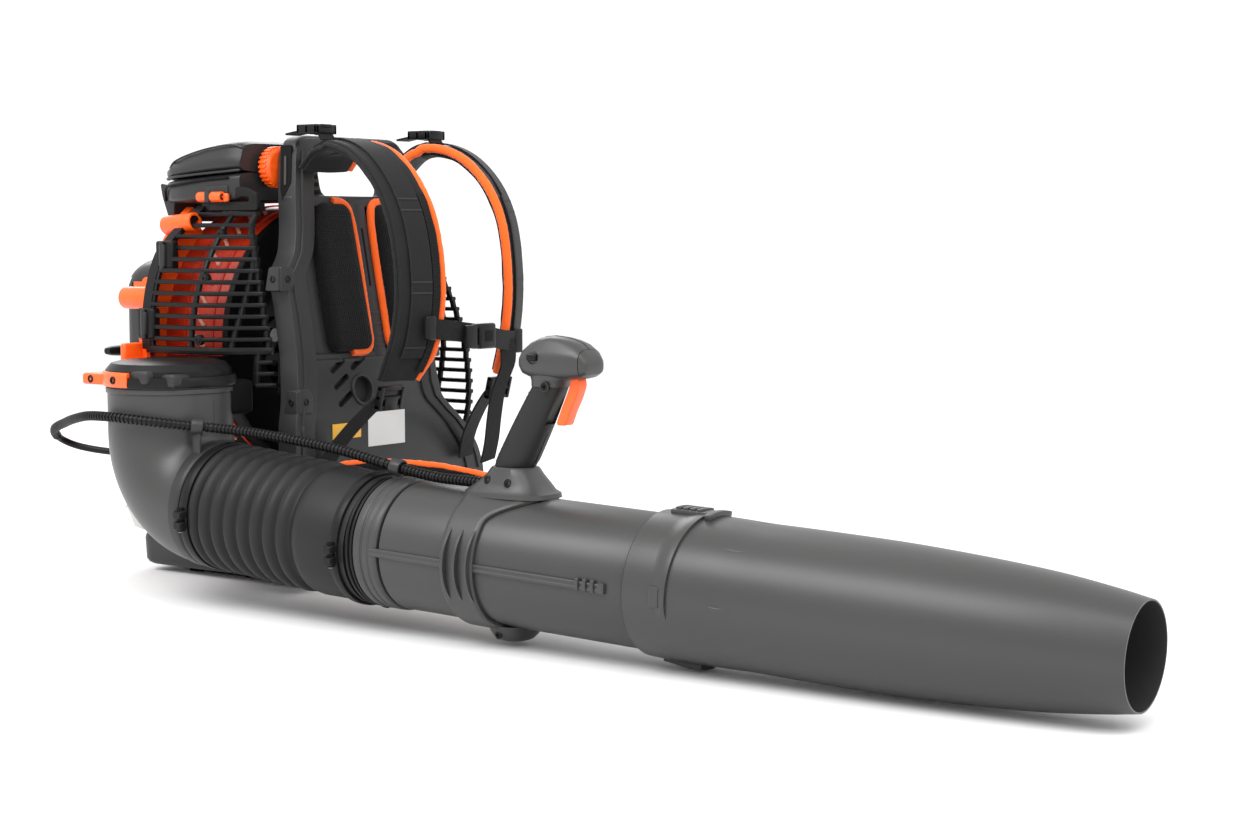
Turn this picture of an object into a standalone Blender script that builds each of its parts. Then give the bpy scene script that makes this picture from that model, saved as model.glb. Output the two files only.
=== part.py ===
"""Backpack leaf blower: frame, engine and fan, flexible duct, blower tube, handle and harness.

Frame: metres, +X forward as the wearer faces, +Y to the wearer's left, +Z up.
The origin is the centre of the foot, on the floor.
"""
import math

import bmesh
import bpy
from mathutils import Matrix, Vector

# ---- driving dimensions ------------------------------------------------------------------
GAP = 0.0003            # clearance between pieces that touch
DUCT_Y = -0.235         # plane of the air duct
DUCT_R = 0.0660         # outside radius of elbow and hose
TUBE_R = 0.0630         # outside radius of the blower tube
WALL = 0.0035           # wall of the moulded duct parts

ELBOW_X = 0.014         # axis of the elbow's upright leg
ELBOW_TOP = 0.2285      # rim of the upright leg
BEND_R = 0.072          # bend radius of the elbow
BEND_Z = 0.178          # height of the bend's centre
HOSE_X = 0.0925         # rear end of the flexible hose
HOSE_END_X = 0.318      # front end of the flexible hose
HOSE_MID_X = 0.206      # middle ring of the flexible hose
HOSE_Z = 0.1052         # axis height at the hose's rear end
TUBE_Z = 0.0865         # axis height at the hose's front end
HOSE_SLOPE = (TUBE_Z - HOSE_Z) / (HOSE_END_X - HOSE_X)
TUBE_SLOPE = -0.0345    # fall of the blower tube, metres per metre
TUBE_END_X = 0.735      # front end of the blower tube
NOZZLE_X = 0.646        # rear end of the nozzle's sleeve
MOUTH_X = 1.103         # nozzle mouth
MOUTH_R = 0.0455

FAN_Z = 0.270           # height of the crank and fan axis, which runs along X at Y = 0
HOUSING_BACK = -0.098
HOUSING_FRONT = 0.012
GUARD_R = 0.190         # outside radius of the slatted guards
GUARD_BACK = -0.072
SLAT_PITCH = 0.0123

CRANK_THROW = 0.010
CYL_X = -0.140          # cylinder axis
ROD_LENGTH = 0.062
PISTON_R = 0.0210

TRAY_X = (-0.157, 0.128)
TRAY_Y = 0.128
TRAY_Z = (0.008, 0.044)
TANK_TOP = 0.103

FRAME_FRONT = 0.122     # front face of the frame below the knee
FRAME_THICK = 0.026
KNEE_Z = 0.180          # above this height the frame leans back
LEAN = 0.190            # metres back per metre up

STRAP_WIDTH = 0.052
STRAP_THICK = 0.013

HANDLE_X = 0.472        # where the handle's foot meets the tube
GRIP_BASE = Vector((0.4790, DUCT_Y, 0.1704))
GRIP_TOP = Vector((0.5240, DUCT_Y, 0.2528))

CABLE_R = 0.0052

COLOURS = {
    "grey": ((0.070, 0.070, 0.074), 0.55, 0.0),
    "dark": ((0.030, 0.030, 0.032), 0.60, 0.0),
    "black": ((0.012, 0.012, 0.013), 0.65, 0.0),
    "orange": ((1.000, 0.150, 0.010), 0.45, 0.0),
    "tank": ((0.800, 0.800, 0.780), 0.35, 0.0),
    "metal": ((0.550, 0.560, 0.570), 0.35, 1.0),
    "fabric": ((0.020, 0.020, 0.022), 0.90, 0.0),
    "paper": ((0.600, 0.560, 0.450), 0.90, 0.0),
}


# ---- scene and materials -----------------------------------------------------------------
def clear_scene():
    for thing in list(bpy.data.objects):
        bpy.data.objects.remove(thing, do_unlink=True)


def new_collection(name):
    collection = bpy.data.collections.new(name)
    bpy.context.scene.collection.children.link(collection)
    return collection


def material(node, colour):
    tone, rough, metal = COLOURS[colour]
    mat = bpy.data.materials.new(node + "_finish")
    mat.use_nodes = True
    shader = mat.node_tree.nodes["Principled BSDF"]
    shader.inputs["Base Color"].default_value = (*tone, 1.0)
    shader.inputs["Roughness"].default_value = rough
    shader.inputs["Metallic"].default_value = metal
    return mat


clear_scene()
PARTS = new_collection("backpack_leaf_blower")
TOOLS = new_collection("cutters")


# ---- making objects ----------------------------------------------------------------------
def from_bmesh(bm, name, colour=None):
    mesh = bpy.data.meshes.new(name)
    bm.to_mesh(mesh)
    bm.free()
    obj = bpy.data.objects.new(name, mesh)
    if colour:
        PARTS.objects.link(obj)
        mesh.materials.append(material(name, colour))
    else:
        TOOLS.objects.link(obj)
        obj.hide_render = True
        obj.display_type = "WIRE"
    return obj


def smooth(obj, degrees=35):
    obj.data.shade_smooth()
    obj.data.set_sharp_from_angle(angle=math.radians(degrees))
    return obj


def baked(obj):
    """Turn modifiers or a curve into a plain mesh in world space."""
    bpy.context.view_layer.update()
    shape = obj.evaluated_get(bpy.context.evaluated_depsgraph_get())
    mesh = bpy.data.meshes.new_from_object(shape)
    mesh.transform(obj.matrix_world)
    bm = bmesh.new()
    bm.from_mesh(mesh)
    bmesh.ops.remove_doubles(bm, verts=bm.verts, dist=0.00002)
    bmesh.ops.recalc_face_normals(bm, faces=bm.faces)
    bm.to_mesh(mesh)
    bm.free()
    name = obj.name
    collection = obj.users_collection[0]
    bpy.data.objects.remove(obj, do_unlink=True)
    mesh.name = name
    result = bpy.data.objects.new(name, mesh)
    collection.objects.link(result)
    if collection == TOOLS:
        result.hide_render = True
        result.display_type = "WIRE"
    return result


def aim(direction):
    """Rotation that turns local +Z to a direction, and keeps local Y in the XY plane."""
    return Vector(direction).to_track_quat("Z", "Y").to_euler()


def box(name, low, high, colour=None, bevel=0.0):
    bm = bmesh.new()
    bmesh.ops.create_cube(bm, size=1.0)
    size = Vector(high) - Vector(low)
    middle = (Vector(high) + Vector(low)) / 2
    bmesh.ops.scale(bm, vec=size, verts=bm.verts)
    bmesh.ops.translate(bm, vec=middle, verts=bm.verts)
    obj = from_bmesh(bm, name, colour)
    if bevel:
        rounding = obj.modifiers.new("rounding", "BEVEL")
        rounding.width = bevel
        rounding.segments = 2
        rounding.limit_method = "ANGLE"
    return obj


def cylinder(name, start, end, radius, colour=None, sides=20, end_radius=None):
    start, end = Vector(start), Vector(end)
    bm = bmesh.new()
    top = radius if end_radius is None else end_radius
    bmesh.ops.create_cone(bm, cap_ends=True, segments=sides, radius1=radius, radius2=top,
                          depth=(end - start).length)
    obj = from_bmesh(bm, name, colour)
    turn = aim(end - start).to_matrix().to_4x4()
    obj.data.transform(Matrix.Translation((start + end) / 2) @ turn)
    return smooth(obj)


def turned(name, profile, start, direction, colour=None, steps=24):
    """A closed profile of (radius, distance along the axis), turned by a Screw modifier."""
    bm = bmesh.new()
    points = [bm.verts.new((radius, 0, along)) for radius, along in profile]
    for first, second in zip(points, points[1:]):
        bm.edges.new((first, second))
    if profile[0][0] > 0 or profile[-1][0] > 0:
        bm.edges.new((points[-1], points[0]))
    obj = from_bmesh(bm, name, colour)
    screw = obj.modifiers.new("turn", "SCREW")
    screw.steps = steps
    screw.render_steps = steps
    screw.use_merge_vertices = True
    screw.merge_threshold = 0.00005
    screw.use_normal_calculate = True
    obj.location = start
    obj.rotation_euler = aim(direction)
    return smooth(baked(obj))


def outline_solid(name, outline, low, high, axis="X", colour=None):
    """A flat outline, extruded between two planes across the named axis."""
    bm = bmesh.new()
    if axis == "X":
        corners = [(low, a, b) for a, b in outline]
        push = Vector((high - low, 0, 0))
    elif axis == "Y":
        corners = [(a, low, b) for a, b in outline]
        push = Vector((0, high - low, 0))
    else:
        corners = [(a, b, low) for a, b in outline]
        push = Vector((0, 0, high - low))
    face = bm.faces.new([bm.verts.new(corner) for corner in corners])
    grown = bmesh.ops.extrude_face_region(bm, geom=[face])
    moved = [item for item in grown["geom"] if isinstance(item, bmesh.types.BMVert)]
    bmesh.ops.translate(bm, vec=push, verts=moved)
    bmesh.ops.recalc_face_normals(bm, faces=bm.faces)
    return from_bmesh(bm, name, colour)


def bar(name, points, radius, colour=None, resolution=2, cyclic=False):
    """A round bar or cord through its points."""
    curve = bpy.data.curves.new(name, "CURVE")
    curve.dimensions = "3D"
    curve.bevel_depth = radius
    curve.bevel_resolution = resolution
    curve.use_fill_caps = True
    spline = curve.splines.new("POLY")
    spline.points.add(len(points) - 1)
    for slot, point in zip(spline.points, points):
        slot.co = (*point, 1.0)
    spline.use_cyclic_u = cyclic
    obj = bpy.data.objects.new(name, curve)
    (PARTS if colour else TOOLS).objects.link(obj)
    if colour:
        curve.materials.append(material(name, colour))
    return smooth(baked(obj))


def smooth_route(points, step):
    """Points about one step apart on a Catmull-Rom curve through the given ones."""
    points = [Vector(point) for point in points]
    padded = [2 * points[0] - points[1]] + points + [2 * points[-1] - points[-2]]
    route = [points[0]]
    for before, start, end, after in zip(padded, padded[1:], padded[2:], padded[3:]):
        count = max(1, round((end - start).length / step))
        for index in range(1, count + 1):
            t = index / count
            spot = 0.5 * (2 * start + (end - before) * t
                          + (2 * before - 5 * start + 4 * end - after) * t * t
                          + (3 * start - before - 3 * end + after) * t ** 3)
            route.append(spot)
    return route


def ribbon(name, path, widths, thickness, colour, across=(0, 1, 0)):
    """A flat strap that follows a path; its width lies along one direction at each point."""
    path = [Vector(point) for point in path]
    sides = across if isinstance(across, list) else [across] * len(path)
    bm = bmesh.new()
    rows = []
    for index, (point, width, side) in enumerate(zip(path, widths, sides)):
        ahead = path[min(index + 1, len(path) - 1)] - path[max(index - 1, 0)]
        side = Vector(side).normalized()
        normal = side.cross(ahead).normalized()
        half = side * width / 2
        lift = normal * thickness / 2
        corners = (point - half - lift, point + half - lift, point + half + lift, point - half + lift)
        rows.append([bm.verts.new(corner) for corner in corners])
    for first, second in zip(rows, rows[1:]):
        for corner in range(4):
            after = (corner + 1) % 4
            bm.faces.new((first[corner], first[after], second[after], second[corner]))
    bm.faces.new(rows[0][::-1])
    bm.faces.new(rows[-1])
    bmesh.ops.recalc_face_normals(bm, faces=bm.faces)
    return from_bmesh(bm, name, colour)


def boolean(target, tool, operation):
    step = target.modifiers.new(operation.lower(), "BOOLEAN")
    step.operation = operation
    step.solver = "EXACT"
    step.object = tool
    if operation == "UNION":
        tool.hide_render = True
        tool.display_type = "WIRE"


def cut(target, *tools):
    for tool in tools:
        boolean(target, tool, "DIFFERENCE")
    return target


def join(target, *tools):
    for tool in tools:
        boolean(target, tool, "UNION")
    return target


def tube_z(x):
    return TUBE_Z + TUBE_SLOPE * (x - HOSE_END_X)


def on_tube(x):
    return Vector((x, DUCT_Y, tube_z(x)))


def arc(centre, radius, start, end, count):
    """Points of a circle's arc in a plane, between two angles in degrees."""
    turns = [math.radians(start + (end - start) * index / count) for index in range(count + 1)]
    return [(centre[0] + radius * math.cos(a), centre[1] + radius * math.sin(a)) for a in turns]


TUBE_DIR = Vector((1, 0, TUBE_SLOPE)).normalized()
HOSE_START = Vector((HOSE_X, DUCT_Y, HOSE_Z))
HOSE_DIR = (on_tube(HOSE_END_X) - HOSE_START).normalized()


# ---- base and frame ----------------------------------------------------------------------
def make_base():
    foot = box("base_foot", (-0.105, -0.100, 0), (0.085, 0.100, TRAY_Z[0] - GAP), "black")
    cut(foot, box("foot_gap_rear", (-0.085, -0.060, -0.01), (-0.015, 0.060, 0.02)),
        box("foot_gap_front", (0.015, -0.060, -0.01), (0.065, 0.060, 0.02)))

    low = (TRAY_X[0], -TRAY_Y, TRAY_Z[0])
    high = (FRAME_FRONT - FRAME_THICK - GAP, TRAY_Y, TRAY_Z[1])
    tray = box("base_tray", low, high, "grey", bevel=0.006)
    cut(tray, box("tray_pocket", (low[0] + 0.004, low[1] + 0.004, 0.014),
                  (high[0] - 0.004, high[1] - 0.004, 0.060)))

    tank = box("fuel_tank", (-0.203, -0.121, TRAY_Z[1] + 0.0006), (0.088, 0.121, TANK_TOP), "tank",
               bevel=0.010)
    neck = cylinder("tank_neck", (-0.165, 0.075, 0.080), (-0.165, 0.075, TANK_TOP + 0.0070), 0.017)
    join(tank, neck)
    cylinder("fuel_cap", (-0.165, 0.075, TANK_TOP + 0.0073), (-0.165, 0.075, TANK_TOP + 0.0250), 0.023,
             "black")


def lean(obj):
    """Bend a mesh back above the knee, as the frame leans away from the wearer."""
    bm = bmesh.new()
    bm.from_mesh(obj.data)
    everything = bm.verts[:] + bm.edges[:] + bm.faces[:]
    bmesh.ops.bisect_plane(bm, geom=everything, plane_co=(0, 0, KNEE_Z), plane_no=(0, 0, 1))
    for vert in bm.verts:
        vert.co.x -= LEAN * max(0.0, vert.co.z - KNEE_Z)
    bm.to_mesh(obj.data)
    bm.free()
    return obj


def make_frame():
    right = [(-0.150, 0.012), (-0.158, 0.060), (-0.157, 0.180), (-0.146, 0.205), (-0.138, 0.300),
             (-0.136, 0.345), (-0.112, 0.375), (-0.107, 0.405), (-0.090, 0.480), (-0.075, 0.494)]
    left = [(0.075, 0.494), (0.090, 0.480), (0.105, 0.405), (0.098, 0.300), (0.084, 0.235),
            (0.088, 0.200), (0.124, 0.172), (0.152, 0.140), (0.163, 0.112), (0.160, 0.012)]
    rear = FRAME_FRONT - FRAME_THICK
    frame = outline_solid("back_frame", right + left, rear, FRAME_FRONT, "X", "grey")
    cut(frame,
        box("handle_gap", (rear - 0.02, -0.046, 0.438), (FRAME_FRONT + 0.02, 0.046, 0.470)),
        box("pad_recess", (FRAME_FRONT - 0.014, -0.082, 0.252), (FRAME_FRONT + 0.02, 0.082, 0.424)),
        box("rear_pocket", (rear - 0.02, -0.076, 0.060), (FRAME_FRONT - 0.018, 0.076, 0.235)),
        cylinder("intake_hole", (rear - 0.02, -0.041, 0.216), (FRAME_FRONT + 0.02, -0.041, 0.216),
                 0.0145, sides=16))
    lean(baked(frame))


# ---- engine ------------------------------------------------------------------------------
def make_engine():
    low = (CYL_X - 0.032, -0.036, FAN_Z - 0.038)
    high = (CYL_X + 0.032, 0.036, 0.3080)
    case = box("crankcase", low, high, "metal", bevel=0.005)
    cut(case,
        cylinder("case_bore", (low[0] + 0.004, 0, FAN_Z), (high[0] - 0.004, 0, FAN_Z), 0.030),
        cylinder("case_mouth", (CYL_X, 0, 0.280), (CYL_X, 0, 0.320), 0.0185),
        cylinder("shaft_holes", (low[0] - 0.01, 0, FAN_Z), (high[0] + 0.01, 0, FAN_Z), 0.0086, sides=16))

    front = cylinder("crankshaft", (CYL_X + 0.008, 0, FAN_Z), (-0.0602, 0, FAN_Z), 0.008, "metal", sides=16)
    join(front,
         cylinder("shaft_rear", (-0.1860, 0, FAN_Z), (CYL_X - 0.008, 0, FAN_Z), 0.0078, sides=16),
         cylinder("web_front", (CYL_X + 0.0075, 0, FAN_Z), (CYL_X + 0.0155, 0, FAN_Z), 0.018, sides=16),
         cylinder("web_rear", (CYL_X - 0.0155, 0, FAN_Z), (CYL_X - 0.0075, 0, FAN_Z), 0.0178, sides=16),
         cylinder("crank_pin", (CYL_X - 0.009, CRANK_THROW, FAN_Z), (CYL_X + 0.009, CRANK_THROW, FAN_Z),
                  0.0050, sides=12))

    small_end = FAN_Z + ROD_LENGTH
    rod = cylinder("connecting_rod", (CYL_X - 0.005, CRANK_THROW, FAN_Z),
                   (CYL_X + 0.005, CRANK_THROW, FAN_Z), 0.0090, "metal", sides=16)
    join(rod,
         box("rod_beam", (CYL_X - 0.0035, CRANK_THROW - 0.003, FAN_Z + 0.007),
             (CYL_X + 0.0035, CRANK_THROW + 0.003, small_end - 0.003)),
         cylinder("rod_small_end", (CYL_X - 0.0048, CRANK_THROW, small_end),
                  (CYL_X + 0.0048, CRANK_THROW, small_end), 0.0055, sides=12))
    cut(rod, cylinder("rod_bore", (CYL_X - 0.02, CRANK_THROW, FAN_Z), (CYL_X + 0.02, CRANK_THROW, FAN_Z),
                      0.0055, sides=12))

    skirt, crown, top = 0.326, 0.3595, 0.363
    inner = PISTON_R - 0.0035
    turned("piston", [(0, top), (PISTON_R, top), (PISTON_R, skirt), (inner, skirt), (inner, crown),
                      (0, crown)], (CYL_X, 0, 0), (0, 0, 1), "metal", steps=20)

    bore = PISTON_R + 0.0004
    fins = []
    for index in range(4):
        height = 0.380 - 0.018 * index
        fins += [(0.0350, height), (0.0350, height - 0.005), (0.0265, height - 0.005)]
        if index < 3:
            fins.append((0.0265, height - 0.018))
    profile = [(0, 0.3895), (0.030, 0.3895), (0.030, 0.380)] + fins
    profile += [(0.0265, 0.3085), (bore, 0.3085), (bore, 0.3752), (0, 0.3752)]
    turned("cylinder", profile, (CYL_X, 0, 0), (0, 0, 1), "metal", steps=16)

    turned("spark_plug", [(0, 0.024), (0.008, 0.024), (0.0095, 0.018), (0.0095, 0.010), (0.005, 0.009),
                          (0.005, 0), (0, 0)], (CYL_X - 0.012, 0.012, 0.3898), (0, 0, 1), "black", steps=12)
    box("muffler", (-0.185, 0.045, 0.262), (-0.112, 0.100, 0.342), "metal", bevel=0.008)
    carb = box("carburettor", (-0.168, -0.092, 0.302), (-0.120, -0.050, 0.346), "metal", bevel=0.004)
    join(carb, cylinder("carb_throat", (-0.144, -0.075, 0.340), (-0.144, -0.075, 0.378), 0.014, sides=16))


def make_engine_cover():
    wall = 0.003
    low, high = (-0.200, -0.108, 0.225), (-0.1005, 0.108, 0.3600)
    cover = box("engine_cover", low, high, "dark", bevel=0.006)
    cut(cover,
        box("cover_inside", (low[0] + wall, low[1] + wall, low[2] - 0.02),
            (high[0] + 0.02, high[1] - wall, high[2] - wall)),
        cylinder("cover_top_hole", (CYL_X, 0, 0.33), (CYL_X, 0, 0.42), 0.0370, sides=20),
        box("cover_top_notch", (CYL_X, -0.030, 0.335), (high[0] + 0.03, 0.030, 0.415)),
        cylinder("cover_carb_hole", (-0.144, -0.075, 0.35), (-0.144, -0.075, 0.40), 0.016, sides=16),
        cylinder("cover_bulb_hole", (-0.150, -0.130, 0.248), (-0.150, -0.095, 0.248), 0.0105, sides=16),
        cylinder("cover_rope_hole", (-0.230, -0.085, FAN_Z - 0.018), (-0.180, -0.085, FAN_Z - 0.018), 0.0045,
                 sides=12))
    turned("primer_bulb", [(0, 0.014), (0.006, 0.0125), (0.0095, 0.008), (0.0098, 0), (0, 0)],
           (-0.150, -0.105, 0.248), (0, -1, 0), "black", steps=16)
    lever = cylinder("choke_lever", (-0.150, -0.1085, 0.330), (-0.150, -0.1155, 0.330), 0.009, "orange",
                     sides=16)
    join(lever, box("choke_blade", (-0.172, -0.1152, 0.3265), (-0.145, -0.1110, 0.3335)))

    turned("starter_pulley", [(0.0085, 0.009), (0.034, 0.009), (0.034, 0.0065), (0.029, 0.0045),
                              (0.034, 0.0025), (0.034, 0), (0.0085, 0)], (-0.1960, 0, FAN_Z), (1, 0, 0),
           "black", steps=20)
    grip_z = FAN_Z - 0.018
    grip = box("starter_handle", (-0.2210, -0.122, grip_z - 0.007), (-0.2030, -0.050, grip_z + 0.007), "dark",
               bevel=0.004)
    join(grip, cylinder("starter_rope", (-0.2100, -0.085, grip_z), (-0.1900, -0.085, grip_z), 0.0022,
                        sides=8))


# ---- fan ---------------------------------------------------------------------------------
def make_fan():
    back = HOUSING_BACK
    drum, wall = 0.150, 0.004
    rim, lip = 0.186, 0.092
    length = HOUSING_FRONT - back
    profile = [(0.014, 0), (0.125, 0), (0.150, 0.008), (rim, 0.010), (rim, 0.021), (drum, 0.023),
               (drum, length), (lip, length), (lip, length - wall), (drum - wall, length - wall),
               (drum - wall, 0.018), (0.122, wall), (0.014, wall)]
    housing = turned("fan_housing", profile, (back, 0, FAN_Z), (1, 0, 0), "orange", steps=32)
    spigot = Vector((ELBOW_X, DUCT_Y, 0))
    outlet = DUCT_R + 0.005
    hood_top = 0.2560
    hood_bottom = ELBOW_TOP + GAP
    join(housing,
         cylinder("outlet_hood", spigot + Vector((0, 0, hood_bottom)), spigot + Vector((0, 0, hood_top)),
                  outlet,
                  sides=32),
         box("outlet_bridge", (-0.050, DUCT_Y, hood_bottom + 0.0003), (HOUSING_FRONT - 0.0005, -0.110,
                                                                      hood_top - 0.0004)))
    cut(housing,
        cylinder("drum_bore", (back + 0.0185, 0, FAN_Z), (HOUSING_FRONT - wall - 0.0003, 0, FAN_Z),
                 drum - wall - 0.0004, sides=32),
        cylinder("outlet_bore", spigot + Vector((0, 0, 0.20)), spigot + Vector((0, 0, hood_top - wall)),
                 DUCT_R - WALL, sides=28),
        box("outlet_channel", (-0.045, DUCT_Y, hood_bottom + 0.004), (HOUSING_FRONT - 0.005, -0.100,
                                                                     hood_top - wall - 0.0004)),
        box("filter_clearance", (back - 0.01, -0.20, 0.4215), (0.03, 0.20, 0.50)),
        box("tank_clearance", (back - 0.01, -0.20, 0.05), (back + 0.06, 0.20, TANK_TOP + 0.004)))

    profile = [(0.0085, 0.003), (0.020, 0.003), (0.020, 0.014), (0.022, 0.004), (0.136, 0.004),
               (0.136, 0), (0.0085, 0)]
    disc = turned("impeller", profile[::-1], (-0.068, 0, FAN_Z), (1, 0, 0), "dark", steps=28)
    bm = bmesh.new()
    blades = 12
    for index in range(blades):
        made = bmesh.ops.create_cube(bm, size=1.0)["verts"]
        bmesh.ops.scale(bm, vec=(0.052, 0.0025, 0.092), verts=made)
        bmesh.ops.rotate(bm, verts=made, matrix=Matrix.Rotation(math.radians(28), 3, "X"))
        bmesh.ops.translate(bm, verts=made, vec=(-0.040, 0, 0.086))
        bmesh.ops.rotate(bm, verts=made, matrix=Matrix.Rotation(math.tau * index / blades, 3, "X"))
    bmesh.ops.translate(bm, verts=bm.verts, vec=(0, 0, FAN_Z))
    join(disc, from_bmesh(bm, "blades"))


def make_guard(name, side, centre_z, low_z, high_z, front):
    """A barrel of slats along X, between a rear and a front rib."""
    wall = 0.004
    low_angle = math.degrees(math.asin((low_z - centre_z) / GUARD_R))
    high_angle = math.degrees(math.asin((high_z - centre_z) / GUARD_R))
    outer = arc((0, centre_z), GUARD_R, low_angle, high_angle, 14)
    inner = arc((0, centre_z), GUARD_R - wall, high_angle, low_angle, 14)
    outline = [(side * y, z) for y, z in outer + inner]
    guard = outline_solid(name, outline, GUARD_BACK, front, "X", "black")
    bm = bmesh.new()
    count = int((high_z - low_z - 0.008) / (2 * SLAT_PITCH))
    for index in range(count):
        z = low_z + 0.010 + 2 * SLAT_PITCH * (index + 0.5)
        for start, end in ((GUARD_BACK + 0.010, 0.020), (0.026, front - 0.008)):
            made = bmesh.ops.create_cube(bm, size=1.0)["verts"]
            bmesh.ops.scale(bm, vec=(end - start, 0.20, 2 * SLAT_PITCH - 0.009), verts=made)
            bmesh.ops.translate(bm, verts=made, vec=((start + end) / 2, side * 0.195, z))
    slots = from_bmesh(bm, name + "_gaps")
    for obj in (guard, slots):
        for vert in obj.data.vertices:
            if vert.co.x > 0.035:
                vert.co.x -= LEAN * (vert.co.z - KNEE_Z)
    cut(guard, slots)


# ---- air filter --------------------------------------------------------------------------
def make_filter():
    low_y, high_y = -0.136, -0.014
    lower = [(-0.1010, 0.4020), (-0.1005, 0.4225), (0.020, 0.4225), (0.020, 0.4560), (-0.122, 0.4480),
             (-0.124, 0.4400), (-0.108, 0.4020)]
    base = outline_solid("filter_base", lower, low_y, high_y, "Y", "dark")
    join(base, cylinder("knob_boss", (0.015, -0.088, 0.4440), (0.0236, -0.088, 0.4440), 0.010, sides=16))
    upper = [(-0.1225, 0.4484), (0.020, 0.4566), (0.020, 0.4880), (0.010, 0.4930), (-0.032, 0.4880),
             (-0.070, 0.4800), (-0.110, 0.4680), (-0.122, 0.4600)]
    cover = outline_solid("filter_cover", upper, low_y, high_y, "Y", "dark")
    pocket = [(-0.105, 0.440), (0.014, 0.440), (0.014, 0.4840), (-0.032, 0.4820), (-0.070, 0.4740),
              (-0.105, 0.4630)]
    cut(cover, outline_solid("cover_pocket", pocket, low_y + 0.005, high_y - 0.005, "Y"))
    cartridge = [(-0.060, 0.4534), (0.010, 0.4574), (0.010, 0.4790), (-0.030, 0.4770), (-0.060, 0.4720)]
    outline_solid("filter_element", cartridge, low_y + 0.010, high_y - 0.010, "Y", "paper")
    knob = turned("filter_knob", [(0, 0.0145), (0.018, 0.0145), (0.023, 0.011), (0.023, 0.004), (0.020, 0),
                                  (0, 0)], (0.0240, -0.088, 0.4620), (1, 0, 0), "orange", steps=20)
    cut(knob, box("grip_slot", (0.0360, -0.120, 0.4610), (0.050, -0.060, 0.4630)))


# ---- duct --------------------------------------------------------------------------------
def duct(name, points, radius, wall, colour, resolution=8):
    """A bent round duct: an open tube along its points, thickened inwards."""
    curve = bpy.data.curves.new(name, "CURVE")
    curve.dimensions = "3D"
    curve.bevel_depth = radius
    curve.bevel_resolution = resolution
    curve.use_fill_caps = False
    spline = curve.splines.new("POLY")
    spline.points.add(len(points) - 1)
    for slot, point in zip(spline.points, points):
        slot.co = (*point, 1.0)
    obj = bpy.data.objects.new(name, curve)
    PARTS.objects.link(obj)
    curve.materials.append(material(name, colour))
    obj = smooth(baked(obj))
    shell = obj.modifiers.new("wall", "SOLIDIFY")
    shell.thickness = wall
    shell.offset = -1
    return obj


def make_elbow():
    sweep = math.pi / 2 - math.atan(-HOSE_SLOPE)
    centre = Vector((ELBOW_X + BEND_R, DUCT_Y, BEND_Z))
    points = [Vector((ELBOW_X, DUCT_Y, ELBOW_TOP)), Vector((ELBOW_X, DUCT_Y, 0.200))]
    for index in range(8):
        turn = sweep * index / 7
        points.append(centre + BEND_R * Vector((-math.cos(turn), 0, -math.sin(turn))))
    points.append(HOSE_START - HOSE_DIR * GAP)
    return duct("elbow", points, DUCT_R, WALL, "grey")


def ring(name, centre, direction, inner, outer, width, colour, steps=28):
    half = width / 2
    profile = [(inner, half), (outer, half), (outer, -half), (inner, -half)]
    return turned(name, profile, centre, direction, colour, steps)


def make_hose():
    reach = (on_tube(HOSE_END_X) - HOSE_START).length
    halves = (("hose_rear", HOSE_START, 0.014, 0.0),
              ("hose_front", HOSE_START + HOSE_DIR * reach / 2, 0.0, 0.016))
    for name, start, rear_cuff, front_cuff in halves:
        length = reach / 2 - (GAP if rear_cuff else 0.0035)
        ribs = 3
        folds = [(DUCT_R - 0.0025, 0.0)]
        span = length - rear_cuff - front_cuff
        along = rear_cuff
        if rear_cuff:
            folds.append((DUCT_R - 0.0025, rear_cuff))
        for index in range(ribs):
            pitch = span / ribs
            folds += [(DUCT_R, along + 0.30 * pitch), (DUCT_R, along + 0.60 * pitch)]
            along += pitch
            folds.append((DUCT_R - 0.0070, along - 0.02 * pitch))
        if front_cuff:
            folds += [(DUCT_R - 0.0025, length - front_cuff + 0.002), (DUCT_R - 0.0025, length)]
        inner = DUCT_R - 0.0110
        profile = folds[::-1] + [(inner, 0), (inner, length)]
        turned(name, profile, start, HOSE_DIR, "dark", steps=20)

    lug = HOSE_START + HOSE_DIR * 0.0074
    clamp = ring("rear_hose_clamp", lug, HOSE_DIR, DUCT_R - 0.0021, DUCT_R + 0.0030, 0.0120, "dark")
    join(clamp, box("rear_lug", lug + Vector((-0.006, -0.081, -0.006)),
                    lug + Vector((0.006, -0.0675, 0.014))))
    front = HOSE_START + HOSE_DIR * (reach - 0.0120)
    clamp = ring("front_hose_clamp", front, HOSE_DIR, DUCT_R - 0.0021, DUCT_R + 0.0020, 0.0120, "dark")
    join(clamp, box("front_lug", front + Vector((-0.006, -0.080, -0.008)),
                    front + Vector((0.006, -0.0665, 0.012))))


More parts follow.
